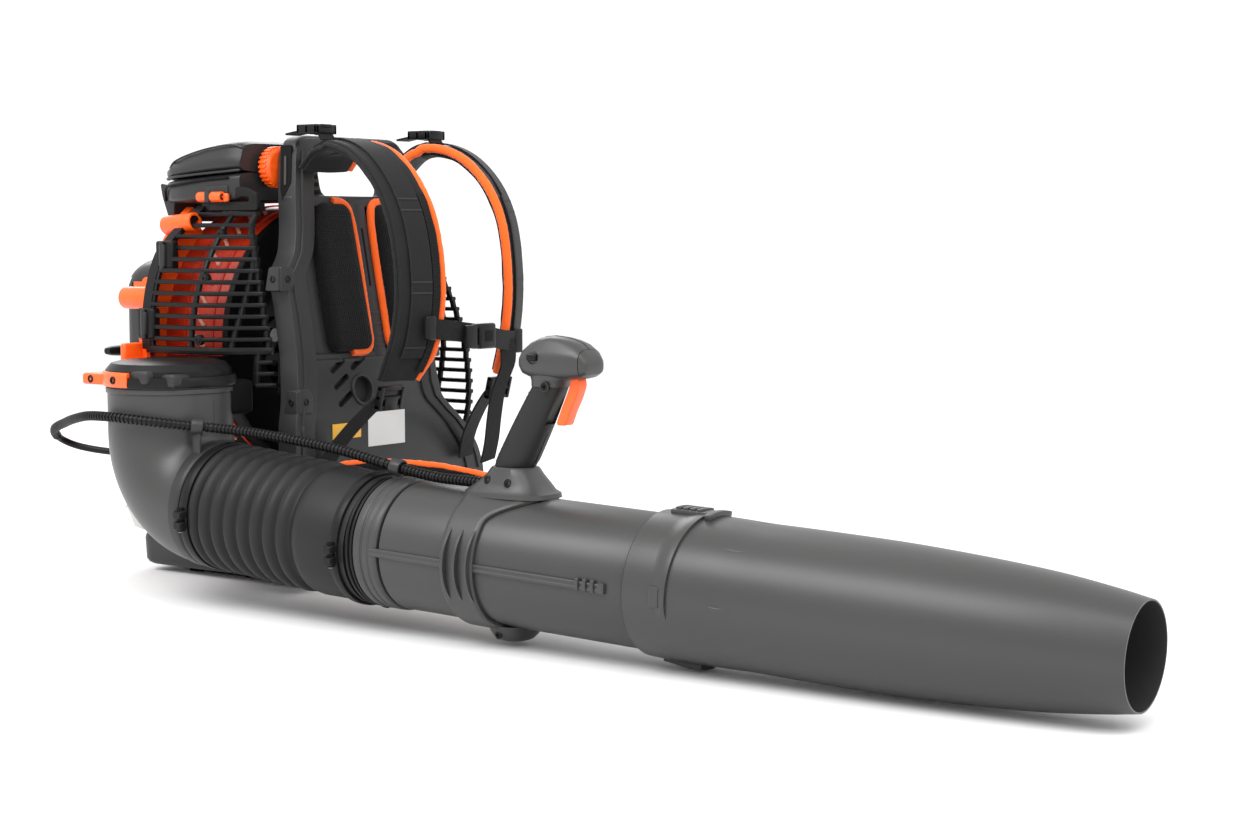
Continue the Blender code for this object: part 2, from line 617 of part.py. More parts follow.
def make_tube():
    start = on_tube(HOSE_END_X + 0.0025)
    turned("swivel_collar", [(0.0590, 0.040), (0.0622, 0.040), (0.0645, 0.034), (0.0645, 0.014),
                             (0.0625, 0.012),
                             (0.0625, 0), (0.0540, 0), (0.0540, 0.008), (0.0590, 0.010)],
           start, TUBE_DIR, "grey", steps=28)
    length = TUBE_END_X - HOSE_END_X
    bore = 0.0548
    tube = turned("blower_tube", [(bore, length), (TUBE_R - 0.0005, length), (TUBE_R, 0.060),
                                  (TUBE_R, 0.0435),
                                  (0.0584, 0.0432), (0.0584, 0.0135), (bore, 0.0135)],
                  on_tube(HOSE_END_X), TUBE_DIR, "grey", steps=32)
    rail = box("tube_rail", (0.375, DUCT_Y - TUBE_R - 0.004, -0.004), (0.600, DUCT_Y - TUBE_R + 0.002, 0.004))
    for vert in rail.data.vertices:
        vert.co.z += tube_z(vert.co.x)
    join(tube, rail)

    sleeve = NOZZLE_X
    reach = MOUTH_X - sleeve
    profile = [(MOUTH_R, reach), (0.0505, reach - 0.030), (0.0570, reach - 0.078), (0.0620, reach - 0.140),
               (0.0655, reach - 0.215), (0.0668, reach - 0.300), (0.0672, 0.110), (0.0672, 0.018),
               (0.0655, 0.0)]
    inner = [(TUBE_R + 0.0006, 0.0), (TUBE_R + 0.0006, 0.092), (0.0625, 0.110), (0.0632, reach - 0.300),
             (0.0620, reach - 0.215), (0.0588, reach - 0.140), (0.0540, reach - 0.078),
             (0.0478, reach - 0.030),
             (MOUTH_R - 0.0020, reach)]
    nozzle = turned("nozzle", profile + inner, on_tube(sleeve), TUBE_DIR, "grey", steps=24)
    low = on_tube(0.668)
    foot = box("nozzle_foot", low + Vector((-0.013, -0.016, -0.0702)), low + Vector((0.030, 0.016, -0.0650)))
    latch = box("nozzle_latch", low + Vector((-0.020, -0.012, 0.0660)), low + Vector((0.020, 0.012, 0.0715)))
    join(nozzle, foot, latch)


# ---- handle ------------------------------------------------------------------------------
def make_handle():
    middle = on_tube(HANDLE_X)
    clamp = ring("handle_clamp", middle - TUBE_DIR * 0.004, TUBE_DIR, TUBE_R + 0.0006, TUBE_R + 0.0046, 0.066,
                 "grey", steps=32)
    socket = outline_solid("handle_socket", [(0.436, 0.1482), (0.516, 0.1454), (0.501, 0.1660),
                                             (0.457, 0.1695)],
                           DUCT_Y - 0.021, DUCT_Y + 0.021, "Y")
    foot = box("clamp_foot", middle + Vector((-0.016, -0.020, -0.0760)),
               middle + Vector((0.012, 0.020, -0.0640)))
    join(clamp, socket, foot)
    rail_slot = box("rail_slot", (0.380, DUCT_Y - TUBE_R - 0.0046, -0.0050),
                    (0.560, DUCT_Y - TUBE_R + 0.003, 0.0050))
    for vert in rail_slot.data.vertices:
        vert.co.z += tube_z(vert.co.x)
    cut(clamp, rail_slot)

    height = GRIP_TOP.z - GRIP_BASE.z
    bm = bmesh.new()
    bmesh.ops.create_cone(bm, cap_ends=True, segments=20, radius1=0.0215, radius2=0.0170, depth=height)
    bmesh.ops.scale(bm, vec=(1.0, 0.78, 1.0), verts=bm.verts)
    grip = from_bmesh(bm, "handle_grip", "dark")
    middle = (GRIP_BASE + GRIP_TOP) / 2
    forward = (GRIP_TOP.x - GRIP_BASE.x) / height
    for vert in grip.data.vertices:
        vert.co.x += forward * vert.co.z
        vert.co += middle
    smooth(grip)

    side = [(0.5040, 0.2545), (0.4930, 0.2690), (0.4980, 0.2830), (0.5190, 0.2940), (0.5460, 0.2915),
            (0.5640, 0.2850), (0.5720, 0.2670), (0.5650, 0.2580), (0.5560, 0.2535), (0.5400, 0.2535)]
    head = outline_solid("handle_head", side, DUCT_Y - 0.021, DUCT_Y + 0.021, "Y", "grey")
    rounding = head.modifiers.new("rounding", "BEVEL")
    rounding.width = 0.005
    rounding.segments = 2
    rounding.limit_method = "ANGLE"
    rounding.angle_limit = math.radians(60)
    cut(head, box("switch_pocket", (0.505, DUCT_Y - 0.030, 0.2680), (0.525, DUCT_Y - 0.0170, 0.2820)),
        box("trigger_slot", (0.5420, DUCT_Y - 0.0075, 0.245), (0.5660, DUCT_Y + 0.0075, 0.2620)))
    box("stop_switch", (0.509, DUCT_Y - 0.0235, 0.2710), (0.521, DUCT_Y - 0.0174, 0.2790), "black",
        bevel=0.001)
    blade = [(0.5490, 0.2600), (0.5565, 0.2590), (0.5580, 0.2480), (0.5500, 0.2330), (0.5400, 0.2150),
             (0.5330, 0.2160), (0.5390, 0.2300), (0.5480, 0.2480)]
    outline_solid("throttle_trigger", blade, DUCT_Y - 0.0065, DUCT_Y + 0.0065, "Y", "orange")


# ---- throttle cable ----------------------------------------------------------------------
def make_cable():
    """One conduit from handle to carburettor, in lengths that part where the duct bends."""
    handle_end = [(0.4335, -0.2450, 0.1535), (0.3920, -0.2420, 0.1540), (0.3530, -0.2400, 0.1580)]
    over_hose = [(0.3200, -0.2420, 0.1640), (0.2630, -0.2440, 0.1740), (0.2060, -0.2470, 0.1805),
                 (0.1700, -0.2500, 0.1840), (0.1330, -0.2520, 0.1865)]
    round_elbow = [(0.1000, -0.2590, 0.1885), (0.0770, -0.2780, 0.1915), (0.0500, -0.3020, 0.1960),
                   (0.0150, -0.3140, 0.1990), (-0.0300, -0.3080, 0.1980), (-0.0720, -0.2910, 0.1920),
                   (-0.1150, -0.2680, 0.1840), (-0.1600, -0.2450, 0.1730), (-0.1830, -0.2200, 0.1600),
                   (-0.1770, -0.1980, 0.1490), (-0.1450, -0.1800, 0.1430), (-0.1050, -0.1660, 0.1430),
                   (-0.0650, -0.1480, 0.1540), (-0.0400, -0.1240, 0.1710)]
    route = smooth_route(handle_end + over_hose + round_elbow, 0.0135)

    def nearest(x):
        return min(range(len(route)), key=lambda index: abs(route[index].x - x) - 0.5 * route[index].z)

    breaks = [0, nearest(0.3200), nearest(0.2060), nearest(0.1000), len(route) - 1]
    names = ("cable_front", "cable_hose_front", "cable_hose_rear", "cable_rear")
    for name, start, end in zip(names, breaks, breaks[1:]):
        piece = [point.copy() for point in route[start:end + 1]]
        piece[0] += (piece[1] - piece[0]).normalized() * GAP * 4
        piece[-1] -= (piece[-1] - piece[-2]).normalized() * GAP * 4
        bar(name, piece, CABLE_R, "black", resolution=1)
    for name, index in (("cable_clip_front", breaks[1] - 1), ("cable_clip_rear", breaks[3] + 1)):
        ring(name, route[index], route[index + 1] - route[index - 1], CABLE_R + 0.0010, CABLE_R + 0.0036,
             0.0120,
             "grey", steps=16)


# ---- harness -----------------------------------------------------------------------------
def make_harness():
    for label, side in (("right", -1), ("left", 1)):
        def place(x, y, z):
            return Vector((x, side * y, z))

        pad = box("back_pad_" + label, (0.1095, 0.014, 0.256), (0.1280, 0.080, 0.420), "fabric")
        for vert in pad.data.vertices:
            vert.co.y *= side
        rounding = pad.modifiers.new("rounding", "BEVEL")
        rounding.width = 0.006
        rounding.segments = 2
        lean(baked(pad))

        route = [place(0.0830, 0.066, 0.4620), place(0.1050, 0.070, 0.4800), place(0.1350, 0.078, 0.4830),
                 place(0.1700, 0.081, 0.4700), place(0.2000, 0.083, 0.4420), place(0.2200, 0.083, 0.4050),
                 place(0.2290, 0.082, 0.3600), place(0.2300, 0.082, 0.3150), place(0.2220, 0.084, 0.2700),
                 place(0.2060, 0.090, 0.2340)]
        tilt = Vector((-0.42, side * 1.0, 0))
        count = len(route)
        ribbon("shoulder_strap_" + label, route, [STRAP_WIDTH] * count, STRAP_THICK, "fabric", across=tilt)

        box_low = place(0.0950, 0.0920, 0.4955)
        buckle = box("top_buckle_" + label, box_low - Vector((0.016, 0.017, 0)),
                     box_low + Vector((0.016, 0.017, 0.012)),
                     "black", bevel=0.003)
        join(buckle, box("top_strap_" + label, place(0.0700, 0.0920, 0.4962) - Vector((0.010, 0.012, 0)),
                         place(0.0900, 0.0920, 0.4992) + Vector((0.010, 0.012, 0))))

        low = place(0.1990, 0.0935, 0.2140)
        buckle = box("lower_buckle_" + label, low - Vector((0.006, 0.019, 0.012)),
                     low + Vector((0.006, 0.019, 0.012)),
                     "black", bevel=0.002)
        webbing = [place(0.1900, 0.0950, 0.2120), place(0.1640, 0.1040, 0.1880),
                   place(0.1380, 0.1150, 0.1550),
                   place(0.1260, 0.1230, 0.1280)]
        ribbon("lower_webbing_" + label, webbing, [0.024] * 4, 0.0030, "fabric", across=place(0, 1, 0.1))

    chest = [Vector((0.2440, -0.0740, 0.2880)), Vector((0.2480, -0.0480, 0.2850)),
             Vector((0.2480, 0.0400, 0.2720)),
             Vector((0.2430, 0.0740, 0.2690))]
    ribbon("chest_strap", chest, [0.022] * 4, 0.0030, "fabric", across=(0.1, 0.1, 1))
    middle = Vector((0.2570, -0.0120, 0.2780))
    box("chest_buckle", middle - Vector((0.0050, 0.024, 0.014)), middle + Vector((0.0050, 0.024, 0.014)),
        "black",
        bevel=0.003)

    right = [Vector((0.1350, -0.1320, 0.1020)), Vector((0.1800, -0.1260, 0.1080)),
             Vector((0.2600, -0.1180, 0.1080)),
             Vector((0.3600, -0.1060, 0.1000)), Vector((0.4400, -0.0920, 0.0900))]
    ribbon("hip_belt_right", right, [0.070, 0.082, 0.086, 0.080, 0.060], 0.014, "fabric", across=(0, 0, 1))
    left = [Vector((0.1350, 0.1300, 0.0580)), Vector((0.1800, 0.1200, 0.0500)),
            Vector((0.2600, 0.1100, 0.0480)),
            Vector((0.3500, 0.1050, 0.0460)), Vector((0.4200, 0.1000, 0.0440))]
    ribbon("hip_belt_left", left, [0.066, 0.072, 0.072, 0.068, 0.054], 0.014, "fabric", across=(0, 0, 1))


# ---- build -------------------------------------------------------------------------------

make_base()
make_frame()
make_engine()
make_engine_cover()
make_fan()
make_guard("intake_guard_right", -1, 0.280, 0.266, 0.416, 0.091)
make_guard("intake_guard_left", 1, 0.245, 0.150, 0.366, 0.091)
make_filter()
make_elbow()
make_hose()
make_tube()
make_handle()
make_cable()
make_harness()
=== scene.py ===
import math

import bmesh
import bpy
from mathutils import Matrix, Vector, noise


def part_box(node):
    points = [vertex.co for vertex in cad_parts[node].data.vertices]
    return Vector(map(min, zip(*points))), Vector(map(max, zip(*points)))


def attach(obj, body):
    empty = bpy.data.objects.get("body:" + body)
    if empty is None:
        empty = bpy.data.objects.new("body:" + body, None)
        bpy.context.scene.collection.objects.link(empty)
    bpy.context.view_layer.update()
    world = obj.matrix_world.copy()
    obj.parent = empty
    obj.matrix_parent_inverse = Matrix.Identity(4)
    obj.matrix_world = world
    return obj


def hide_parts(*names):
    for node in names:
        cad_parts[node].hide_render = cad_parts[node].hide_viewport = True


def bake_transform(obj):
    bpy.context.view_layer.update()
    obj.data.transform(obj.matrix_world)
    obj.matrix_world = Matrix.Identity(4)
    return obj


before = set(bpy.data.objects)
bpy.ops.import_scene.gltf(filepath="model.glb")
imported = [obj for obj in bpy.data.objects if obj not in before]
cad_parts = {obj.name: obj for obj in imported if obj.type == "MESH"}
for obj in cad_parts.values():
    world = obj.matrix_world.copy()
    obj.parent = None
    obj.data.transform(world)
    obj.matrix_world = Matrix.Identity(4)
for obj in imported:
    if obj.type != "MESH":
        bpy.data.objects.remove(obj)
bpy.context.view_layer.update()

print("frame loaded")

across = Vector((0, 1, 0))
up = Vector((0, 0, 1))


def mix(a, b, t):
    return a + (b - a) * t


def ease(t):
    t = min(1.0, max(0.0, t))
    return t * t * (3 - 2 * t)


def rounded(points, radius, steps=4, closed=True):
    # each corner of a flat outline becomes a small curve
    points = [Vector(p) for p in points]
    out = []
    last = len(points) - 1
    for i, corner in enumerate(points):
        if not closed and i in (0, last):
            out.append(corner)
            continue
        before, after = points[i - 1] - corner, points[(i + 1) % len(points)] - corner
        reach = min(radius, before.length * 0.48, after.length * 0.48)
        a, b = corner + before.normalized() * reach, corner + after.normalized() * reach
        for k in range(steps + 1):
            t = k / steps
            out.append(a.lerp(corner, t).lerp(corner.lerp(b, t), t))
    return out


def smoothRoute(points, step):
    # points about one step apart on a smooth curve through the given ones
    points = [Vector(p) for p in points]
    padded = [2 * points[0] - points[1]] + points + [2 * points[-1] - points[-2]]
    route = [points[0]]
    for before, start, end, after in zip(padded, padded[1:], padded[2:], padded[3:]):
        count = max(1, round((end - start).length / step))
        for k in range(1, count + 1):
            t = k / count
            route.append(0.5 * (2 * start + (end - before) * t
                                + (2 * before - 5 * start + 4 * end - after) * t * t
                                + (3 * start - before - 3 * end + after) * t ** 3))
    return route


def newObject(name, mesh):
    obj = bpy.data.objects.new(name, mesh)
    bpy.context.scene.collection.objects.link(obj)
    return obj


def fromBmesh(bm, name, look=None, sharp=35, tidy=True):
    if tidy:
        bmesh.ops.remove_doubles(bm, verts=bm.verts, dist=0.00001)
        bmesh.ops.recalc_face_normals(bm, faces=bm.faces)
    mesh = bpy.data.meshes.new(name)
    bm.to_mesh(mesh)
    bm.free()
    mesh.shade_smooth()
    mesh.set_sharp_from_angle(angle=math.radians(sharp))
    if look:
        mesh.materials.append(look)
    return newObject(name, mesh)


def plain(obj, sharp=35):
    # a plain mesh of what the modifiers give, with the place in the mesh
    bpy.context.view_layer.update()
    shape = obj.evaluated_get(bpy.context.evaluated_depsgraph_get())
    mesh = bpy.data.meshes.new_from_object(shape)
    mesh.transform(obj.matrix_world)
    name = obj.name
    bpy.data.objects.remove(obj, do_unlink=True)
    mesh.name = name
    mesh.shade_smooth()
    mesh.set_sharp_from_angle(angle=math.radians(sharp))
    return newObject(name, mesh)


def softened(obj, width, segments=3, angle=32, sharp=50):
    edge = obj.modifiers.new("edge", "BEVEL")
    edge.width = width
    edge.segments = segments
    edge.limit_method = "ANGLE"
    edge.angle_limit = math.radians(angle)
    edge.harden_normals = False
    return plain(obj, sharp)


def carved(obj, cutters, operation="DIFFERENCE", sharp=35):
    for cutter in cutters:
        step = obj.modifiers.new("carve", "BOOLEAN")
        step.operation = operation
        step.solver = "EXACT"
        step.object = cutter
    obj = plain(obj, sharp)
    for cutter in cutters:
        bpy.data.objects.remove(cutter, do_unlink=True)
    return obj


def merged(name, pieces, sharp=40):
    # one object from several, each keeping its material
    mesh = bpy.data.meshes.new(name)
    bm = bmesh.new()
    looks = []
    for obj in pieces:
        start = len(bm.faces)
        bm.from_mesh(obj.data)
        bm.faces.ensure_lookup_table()
        for face in bm.faces[start:]:
            look = obj.data.materials[face.material_index]
            if look not in looks:
                looks.append(look)
            face.material_index = looks.index(look)
    bm.to_mesh(mesh)
    bm.free()
    for look in looks:
        mesh.materials.append(look)
    for obj in pieces:
        bpy.data.objects.remove(obj, do_unlink=True)
    mesh.shade_smooth()
    mesh.set_sharp_from_angle(angle=math.radians(sharp))
    return newObject(name, mesh)


def block(name, low, high, look, bevel=0.002, segments=3, shape=None):
    bm = bmesh.new()
    bmesh.ops.create_cube(bm, size=1.0)
    low, high = Vector(low), Vector(high)
    for v in bm.verts:
        v.co = Vector([mix(low[k], high[k], v.co[k] + 0.5) for k in range(3)])
        if shape:
            v.co = Vector(shape(v.co))
    obj = fromBmesh(bm, name, look)
    return softened(obj, bevel, segments) if bevel else obj


def rod(name, start, end, radius, look, sides=32, tip=None, bevel=0.0):
    start, end = Vector(start), Vector(end)
    bm = bmesh.new()
    bmesh.ops.create_cone(bm, cap_ends=True, segments=sides, radius1=radius,
                          radius2=radius if tip is None else tip, depth=(end - start).length)
    turn = (end - start).to_track_quat("Z", "Y").to_matrix().to_4x4()
    bmesh.ops.transform(bm, verts=bm.verts, matrix=Matrix.Translation((start + end) / 2) @ turn)
    obj = fromBmesh(bm, name, look)
    return softened(obj, bevel) if bevel else obj


def lathe(name, profile, start, direction, look, steps=96, sharp=35):
    # a closed profile of (radius, distance along the axis) turned about the axis
    turn = Vector(direction).to_track_quat("Z", "Y").to_matrix()
    bm = bmesh.new()
    rows = []
    for k in range(steps):
        a = math.tau * k / steps
        rows.append([bm.verts.new(Vector(start) + turn @ Vector((p[0] * math.cos(a), p[0] * math.sin(a),
                                                                 p[1])))
                     for p in profile])
    count = len(profile)
    isOpen = profile[0][0] < 1e-6 and profile[-1][0] < 1e-6
    for k in range(steps):
        a, b = rows[k], rows[(k + 1) % steps]
        for i in range(count - 1 if isOpen else count):
            j = (i + 1) % count
            if profile[i][0] < 1e-6 and profile[j][0] < 1e-6:
                continue
            bm.faces.new((a[i], a[j], b[j], b[i]))
    bmesh.ops.remove_doubles(bm, verts=bm.verts, dist=0.000004)
    bmesh.ops.dissolve_degenerate(bm, edges=bm.edges, dist=0.000001)
    return fromBmesh(bm, name, look, sharp)


def plate(name, outline, low, high, axis, look, bevel=0.0015, segments=3, sharp=50):
    # a flat outline given a thickness across the named axis
    place = {"X": lambda a, b, c: (c, a, b), "Y": lambda a, b, c: (a, c, b), "Z": lambda a, b,
             c: (a, b, c)}[axis]
    bm = bmesh.new()
    face = bm.faces.new([bm.verts.new(place(p[0], p[1], low)) for p in outline])
    grown = bmesh.ops.extrude_face_region(bm, geom=[face])
    push = Vector(place(0, 0, high - low))
    bmesh.ops.translate(bm, vec=push, verts=[g for g in grown["geom"] if isinstance(g, bmesh.types.BMVert)])
    obj = fromBmesh(bm, name, look, sharp)
    return softened(obj, bevel, segments, sharp=sharp) if bevel else obj


def loft(name, rings, look, closed=False, sharp=40):
    # a skin through rings of points, capped at both ends unless it closes on itself
    bm = bmesh.new()
    rows = [[bm.verts.new(p) for p in ring] for ring in rings]
    pairs = list(zip(rows, rows[1:])) + ([(rows[-1], rows[0])] if closed else [])
    for a, b in pairs:
        for i in range(len(a)):
            j = (i + 1) % len(a)
            bm.faces.new((a[i], a[j], b[j], b[i]))
    if not closed:
        bm.faces.new(rows[0][::-1])
        bm.faces.new(rows[-1])
    return fromBmesh(bm, name, look, sharp)


def oval(centre, a, b, u, v, power=2.0, count=48):
    # a ring between an ellipse and a rounded rectangle
    ring = []
    for k in range(count):
        t = math.tau * k / count
        c, s = math.cos(t), math.sin(t)
        ring.append(Vector(centre) + Vector(u) * a * math.copysign(abs(c) ** (2 / power), c)
                    + Vector(v) * b * math.copysign(abs(s) ** (2 / power), s))
    return ring


def strip(name, path, section, look, side=None, scale=None, sharp=50, caps=True):
    # a section of (across, out) carried along a path, with a UV map in metres
    path = [Vector(p) for p in path]
    count = len(path)
    bm = bmesh.new()
    uv = bm.loops.layers.uv.new("cloth")
    rows, lengths, normal = [], [0.0], None
    for i, p in enumerate(path):
        ahead = (path[min(i + 1, count - 1)] - path[max(i - 1, 0)]).normalized()
        if side is not None:
            s = Vector(side[i] if isinstance(side, list) else side).normalized()
        else:
            if normal is None:
                normal = ahead.orthogonal().normalized()
            normal = (normal - ahead * normal.dot(ahead)).normalized()
            s = ahead.cross(normal).normalized()
        out = s.cross(ahead).normalized() if side is not None else normal
        grow = scale[i] if scale else (1.0, 1.0)
        rows.append([bm.verts.new(p + s * a * grow[0] + out * b * grow[1]) for a, b in section])
        if i:
            lengths.append(lengths[-1] + (p - path[i - 1]).length)
    around = [0.0]
    for a, b in zip(section, section[1:] + section[:1]):
        around.append(around[-1] + math.hypot(b[0] - a[0], b[1] - a[1]))
    for i in range(count - 1):
        for k in range(len(section)):
            j = (k + 1) % len(section)
            face = bm.faces.new((rows[i][k], rows[i][j], rows[i + 1][j], rows[i + 1][k]))
            spots = ((around[k], lengths[i]), (around[k + 1], lengths[i]),
                     (around[k + 1], lengths[i + 1]), (around[k], lengths[i + 1]))
            for loop, spot in zip(face.loops, spots):
                loop[uv].uv = spot
    if caps:
        bm.faces.new(rows[0][::-1])
        bm.faces.new(rows[-1])
    bmesh.ops.recalc_face_normals(bm, faces=bm.faces)
    return fromBmesh(bm, name, look, sharp, tidy=False)


def circle(radius, sides):
    return [(radius * math.cos(math.tau * k / sides),
             radius * math.sin(math.tau * k / sides)) for k in range(sides)]


def cord(name, path, radius, look, sides=12):
    return strip(name, path, circle(radius, sides), look)


def nodeTree(name, inputs):
    tree = bpy.data.node_groups.new(name, "GeometryNodeTree")
    tree.interface.new_socket("Geometry", in_out="INPUT", socket_type="NodeSocketGeometry")
    for label, kind, value in inputs:
        socket = tree.interface.new_socket(label, in_out="INPUT", socket_type=kind)
        if value is not None:
            socket.default_value = value
    tree.interface.new_socket("Geometry", in_out="OUTPUT", socket_type="NodeSocketGeometry")
    start, end = tree.nodes.new("NodeGroupInput"), tree.nodes.new("NodeGroupOutput")

    def add(kind, links=(), **values):
        node = tree.nodes.new(kind)
        for key, value in values.items():
            setattr(node, key, value)
        for socket, source in links:
            if isinstance(source, bpy.types.NodeSocket):
                tree.links.new(source, node.inputs[socket])
            else:
                node.inputs[socket].default_value = source
        return node
    return tree, start, end, add


def spreadTree():
    # one shape at each point, turned so its Z follows the point's normal and its X the stored direction
    tree, start, end, add = nodeTree("spreadShapes", [
        ("Shape", "NodeSocketObject", None), ("Size", "NodeSocketFloat", 1.0), ("Finish",
                                                                                "NodeSocketMaterial", None)])
    shape = add("GeometryNodeObjectInfo", [("Object", start.outputs["Shape"])])
    outward = add("GeometryNodeInputNamedAttribute", [("Name", "outward")], data_type="FLOAT_VECTOR")
    ahead = add("GeometryNodeInputNamedAttribute", [("Name", "ahead")], data_type="FLOAT_VECTOR")
    first = add("FunctionNodeAlignRotationToVector", [("Vector", outward.outputs["Attribute"])], axis="Z")
    second = add("FunctionNodeAlignRotationToVector", [("Rotation", first.outputs["Rotation"]),
                                                       ("Vector", ahead.outputs["Attribute"])],
                 axis="X", pivot_axis="Z")
    put = add("GeometryNodeInstanceOnPoints", [("Points", start.outputs["Geometry"]),
                                               ("Instance", shape.outputs["Geometry"]),
                                               ("Rotation", second.outputs["Rotation"]),
                                               ("Scale", start.outputs["Size"])])
    real = add("GeometryNodeRealizeInstances", [("Geometry", put.outputs["Instances"])])
    paint = add("GeometryNodeSetMaterial", [("Geometry", real.outputs["Geometry"]),
                                            ("Material", start.outputs["Finish"])])
    tree.links.new(paint.outputs["Geometry"], end.inputs["Geometry"])
    return tree


def throughTree(obj, tree, values, sharp=35):
    modifier = obj.modifiers.new("layout", "NODES")
    modifier.node_group = tree
    for item in tree.interface.items_tree:
        if item.in_out == "INPUT" and item.name in values:
            modifier[item.identifier] = values[item.name]
    return plain(obj, sharp)


trees = {"spread": spreadTree()}


def spread(name, spots, shape, look, size=1.0):
    # spots are (place, outward, ahead); the shape is an object that goes away afterwards
    mesh = bpy.data.meshes.new(name)
    mesh.from_pydata([Vector(p) for p, _, _ in spots], [], [])
    for label, index in (("outward", 1), ("ahead", 2)):
        attribute = mesh.attributes.new(label, "FLOAT_VECTOR", "POINT")
        for i, spot in enumerate(spots):
            attribute.data[i].vector = Vector(spot[index])
    obj = newObject(name, mesh)
    obj = throughTree(obj, trees["spread"], {"Shape": shape, "Size": size, "Finish": look})
    bpy.data.objects.remove(shape, do_unlink=True)
    return obj


def screwShape(radius=0.0034):
    # a countersunk screw head with a six-sided recess
    profile = [(0, -0.0012), (radius * 0.42, -0.0012), (radius * 0.45, 0.0004), (radius * 0.85, 0.0005),
               (radius, 0.0), (radius, -0.001), (0, -0.0014)]
    return lathe("screwShape", profile, (0, 0, 0), up, None, steps=18)


def finish(name, tone, rough, grain=900.0, depth=0.10, mottle=0.06, metal=0.0, coat=0.0, sheen=0.0,
           specular=0.5, drift=6.0, subsurface=0.0, through=0.0):
    # moulded plastic, rubber or metal: fine grain in the bump, slow drift in colour and gloss
    look = bpy.data.materials.new(name)
    look.use_nodes = True
    nodes, links = look.node_tree.nodes, look.node_tree.links
    shader = nodes["Principled BSDF"]
    place = nodes.new("ShaderNodeTexCoord")
    slow = nodes.new("ShaderNodeTexNoise")
    slow.inputs["Scale"].default_value = drift
    slow.inputs["Detail"].default_value = 4.0
    links.new(place.outputs["Object"], slow.inputs["Vector"])
    ramp = nodes.new("ShaderNodeValToRGB")
    ramp.color_ramp.elements[0].position, ramp.color_ramp.elements[1].position = 0.3, 0.7
    ramp.color_ramp.elements[0].color = (*[c * (1 - mottle) for c in tone], 1)
    ramp.color_ramp.elements[1].color = (*[min(1, c * (1 + mottle)) for c in tone], 1)
    links.new(slow.outputs["Fac"], ramp.inputs["Fac"])
    links.new(ramp.outputs["Color"], shader.inputs["Base Color"])
    fine = nodes.new("ShaderNodeTexNoise")
    fine.inputs["Scale"].default_value = grain
    fine.inputs["Detail"].default_value = 3.0
    links.new(place.outputs["Object"], fine.inputs["Vector"])
    spread_ = nodes.new("ShaderNodeMapRange")
    spread_.inputs["To Min"].default_value = max(0.02, rough - 0.06)
    spread_.inputs["To Max"].default_value = min(1.0, rough + 0.06)
    links.new(slow.outputs["Fac"], spread_.inputs["Value"])
    links.new(spread_.outputs["Result"], shader.inputs["Roughness"])
    bump = nodes.new("ShaderNodeBump")
    bump.inputs["Strength"].default_value = depth
    bump.inputs["Distance"].default_value = 0.0006
    links.new(fine.outputs["Fac"], bump.inputs["Height"])
    links.new(bump.outputs["Normal"], shader.inputs["Normal"])
    shader.inputs["Metallic"].default_value = metal
    shader.inputs["Specular IOR Level"].default_value = specular
    shader.inputs["Coat Weight"].default_value = coat
    shader.inputs["Sheen Weight"].default_value = sheen
    shader.inputs["Subsurface Weight"].default_value = subsurface
    shader.inputs["Transmission Weight"].default_value = through
    return look


def clothFinish(name, tone, pitch, kind="weave", rough=0.85, depth=0.35, sheen=0.25, hollow_shade=0.35):
    # weave, mesh or webbing; webbing follows its own UV map, in metres; the colour is darkened in the weave's
    # hollows as painted shade
    look = finish(name, tone, rough, sheen=sheen, mottle=0.05, specular=0.15)
    nodes, links = look.node_tree.nodes, look.node_tree.links
    shader = nodes["Principled BSDF"]
    place = nodes["Texture Coordinate"]
    bump = nodes["Bump"]
    ramp = nodes["Color Ramp"]
    bump.inputs["Strength"].default_value = depth
    source = place.outputs["UV"] if kind in ("webbing", "piping") else place.outputs["Object"]
    if kind == "mesh":
        cells = nodes.new("ShaderNodeTexVoronoi")
        cells.inputs["Scale"].default_value = 1 / pitch
        cells.inputs["Randomness"].default_value = 0.25
        links.new(source, cells.inputs["Vector"])
        height = cells.outputs["Distance"]
    else:
        bands = []
        for direction in (("Y", "X") if kind in ("webbing", "piping") else ("X", "DIAGONAL")):
            wave = nodes.new("ShaderNodeTexWave")
            wave.bands_direction = direction
            wave.inputs["Scale"].default_value = 1 / (pitch * 3.2)
            wave.inputs["Distortion"].default_value = 0.4
            links.new(source, wave.inputs["Vector"])
            bands.append(wave.outputs["Fac"])
        both = nodes.new("ShaderNodeMath")
        both.operation = "MULTIPLY"
        links.new(bands[0], both.inputs[0])
        links.new(bands[1], both.inputs[1])
        height = both.outputs["Value"] if kind != "webbing" else bands[0]
    links.new(height, bump.inputs["Height"])
    bump.inputs["Distance"].default_value = pitch * 0.4
    # the colour is darkened where the weave is low: painted shade in its hollows
    shade = nodes.new("ShaderNodeMix")
    shade.data_type = "RGBA"
    shade.blend_type = "MULTIPLY"
    shade.inputs["Factor"].default_value = hollow_shade
    links.new(ramp.outputs["Color"], shade.inputs["A"])
    links.new(height, shade.inputs["B"])
    links.new(shade.outputs["Result"], shader.inputs["Base Color"])
    return look


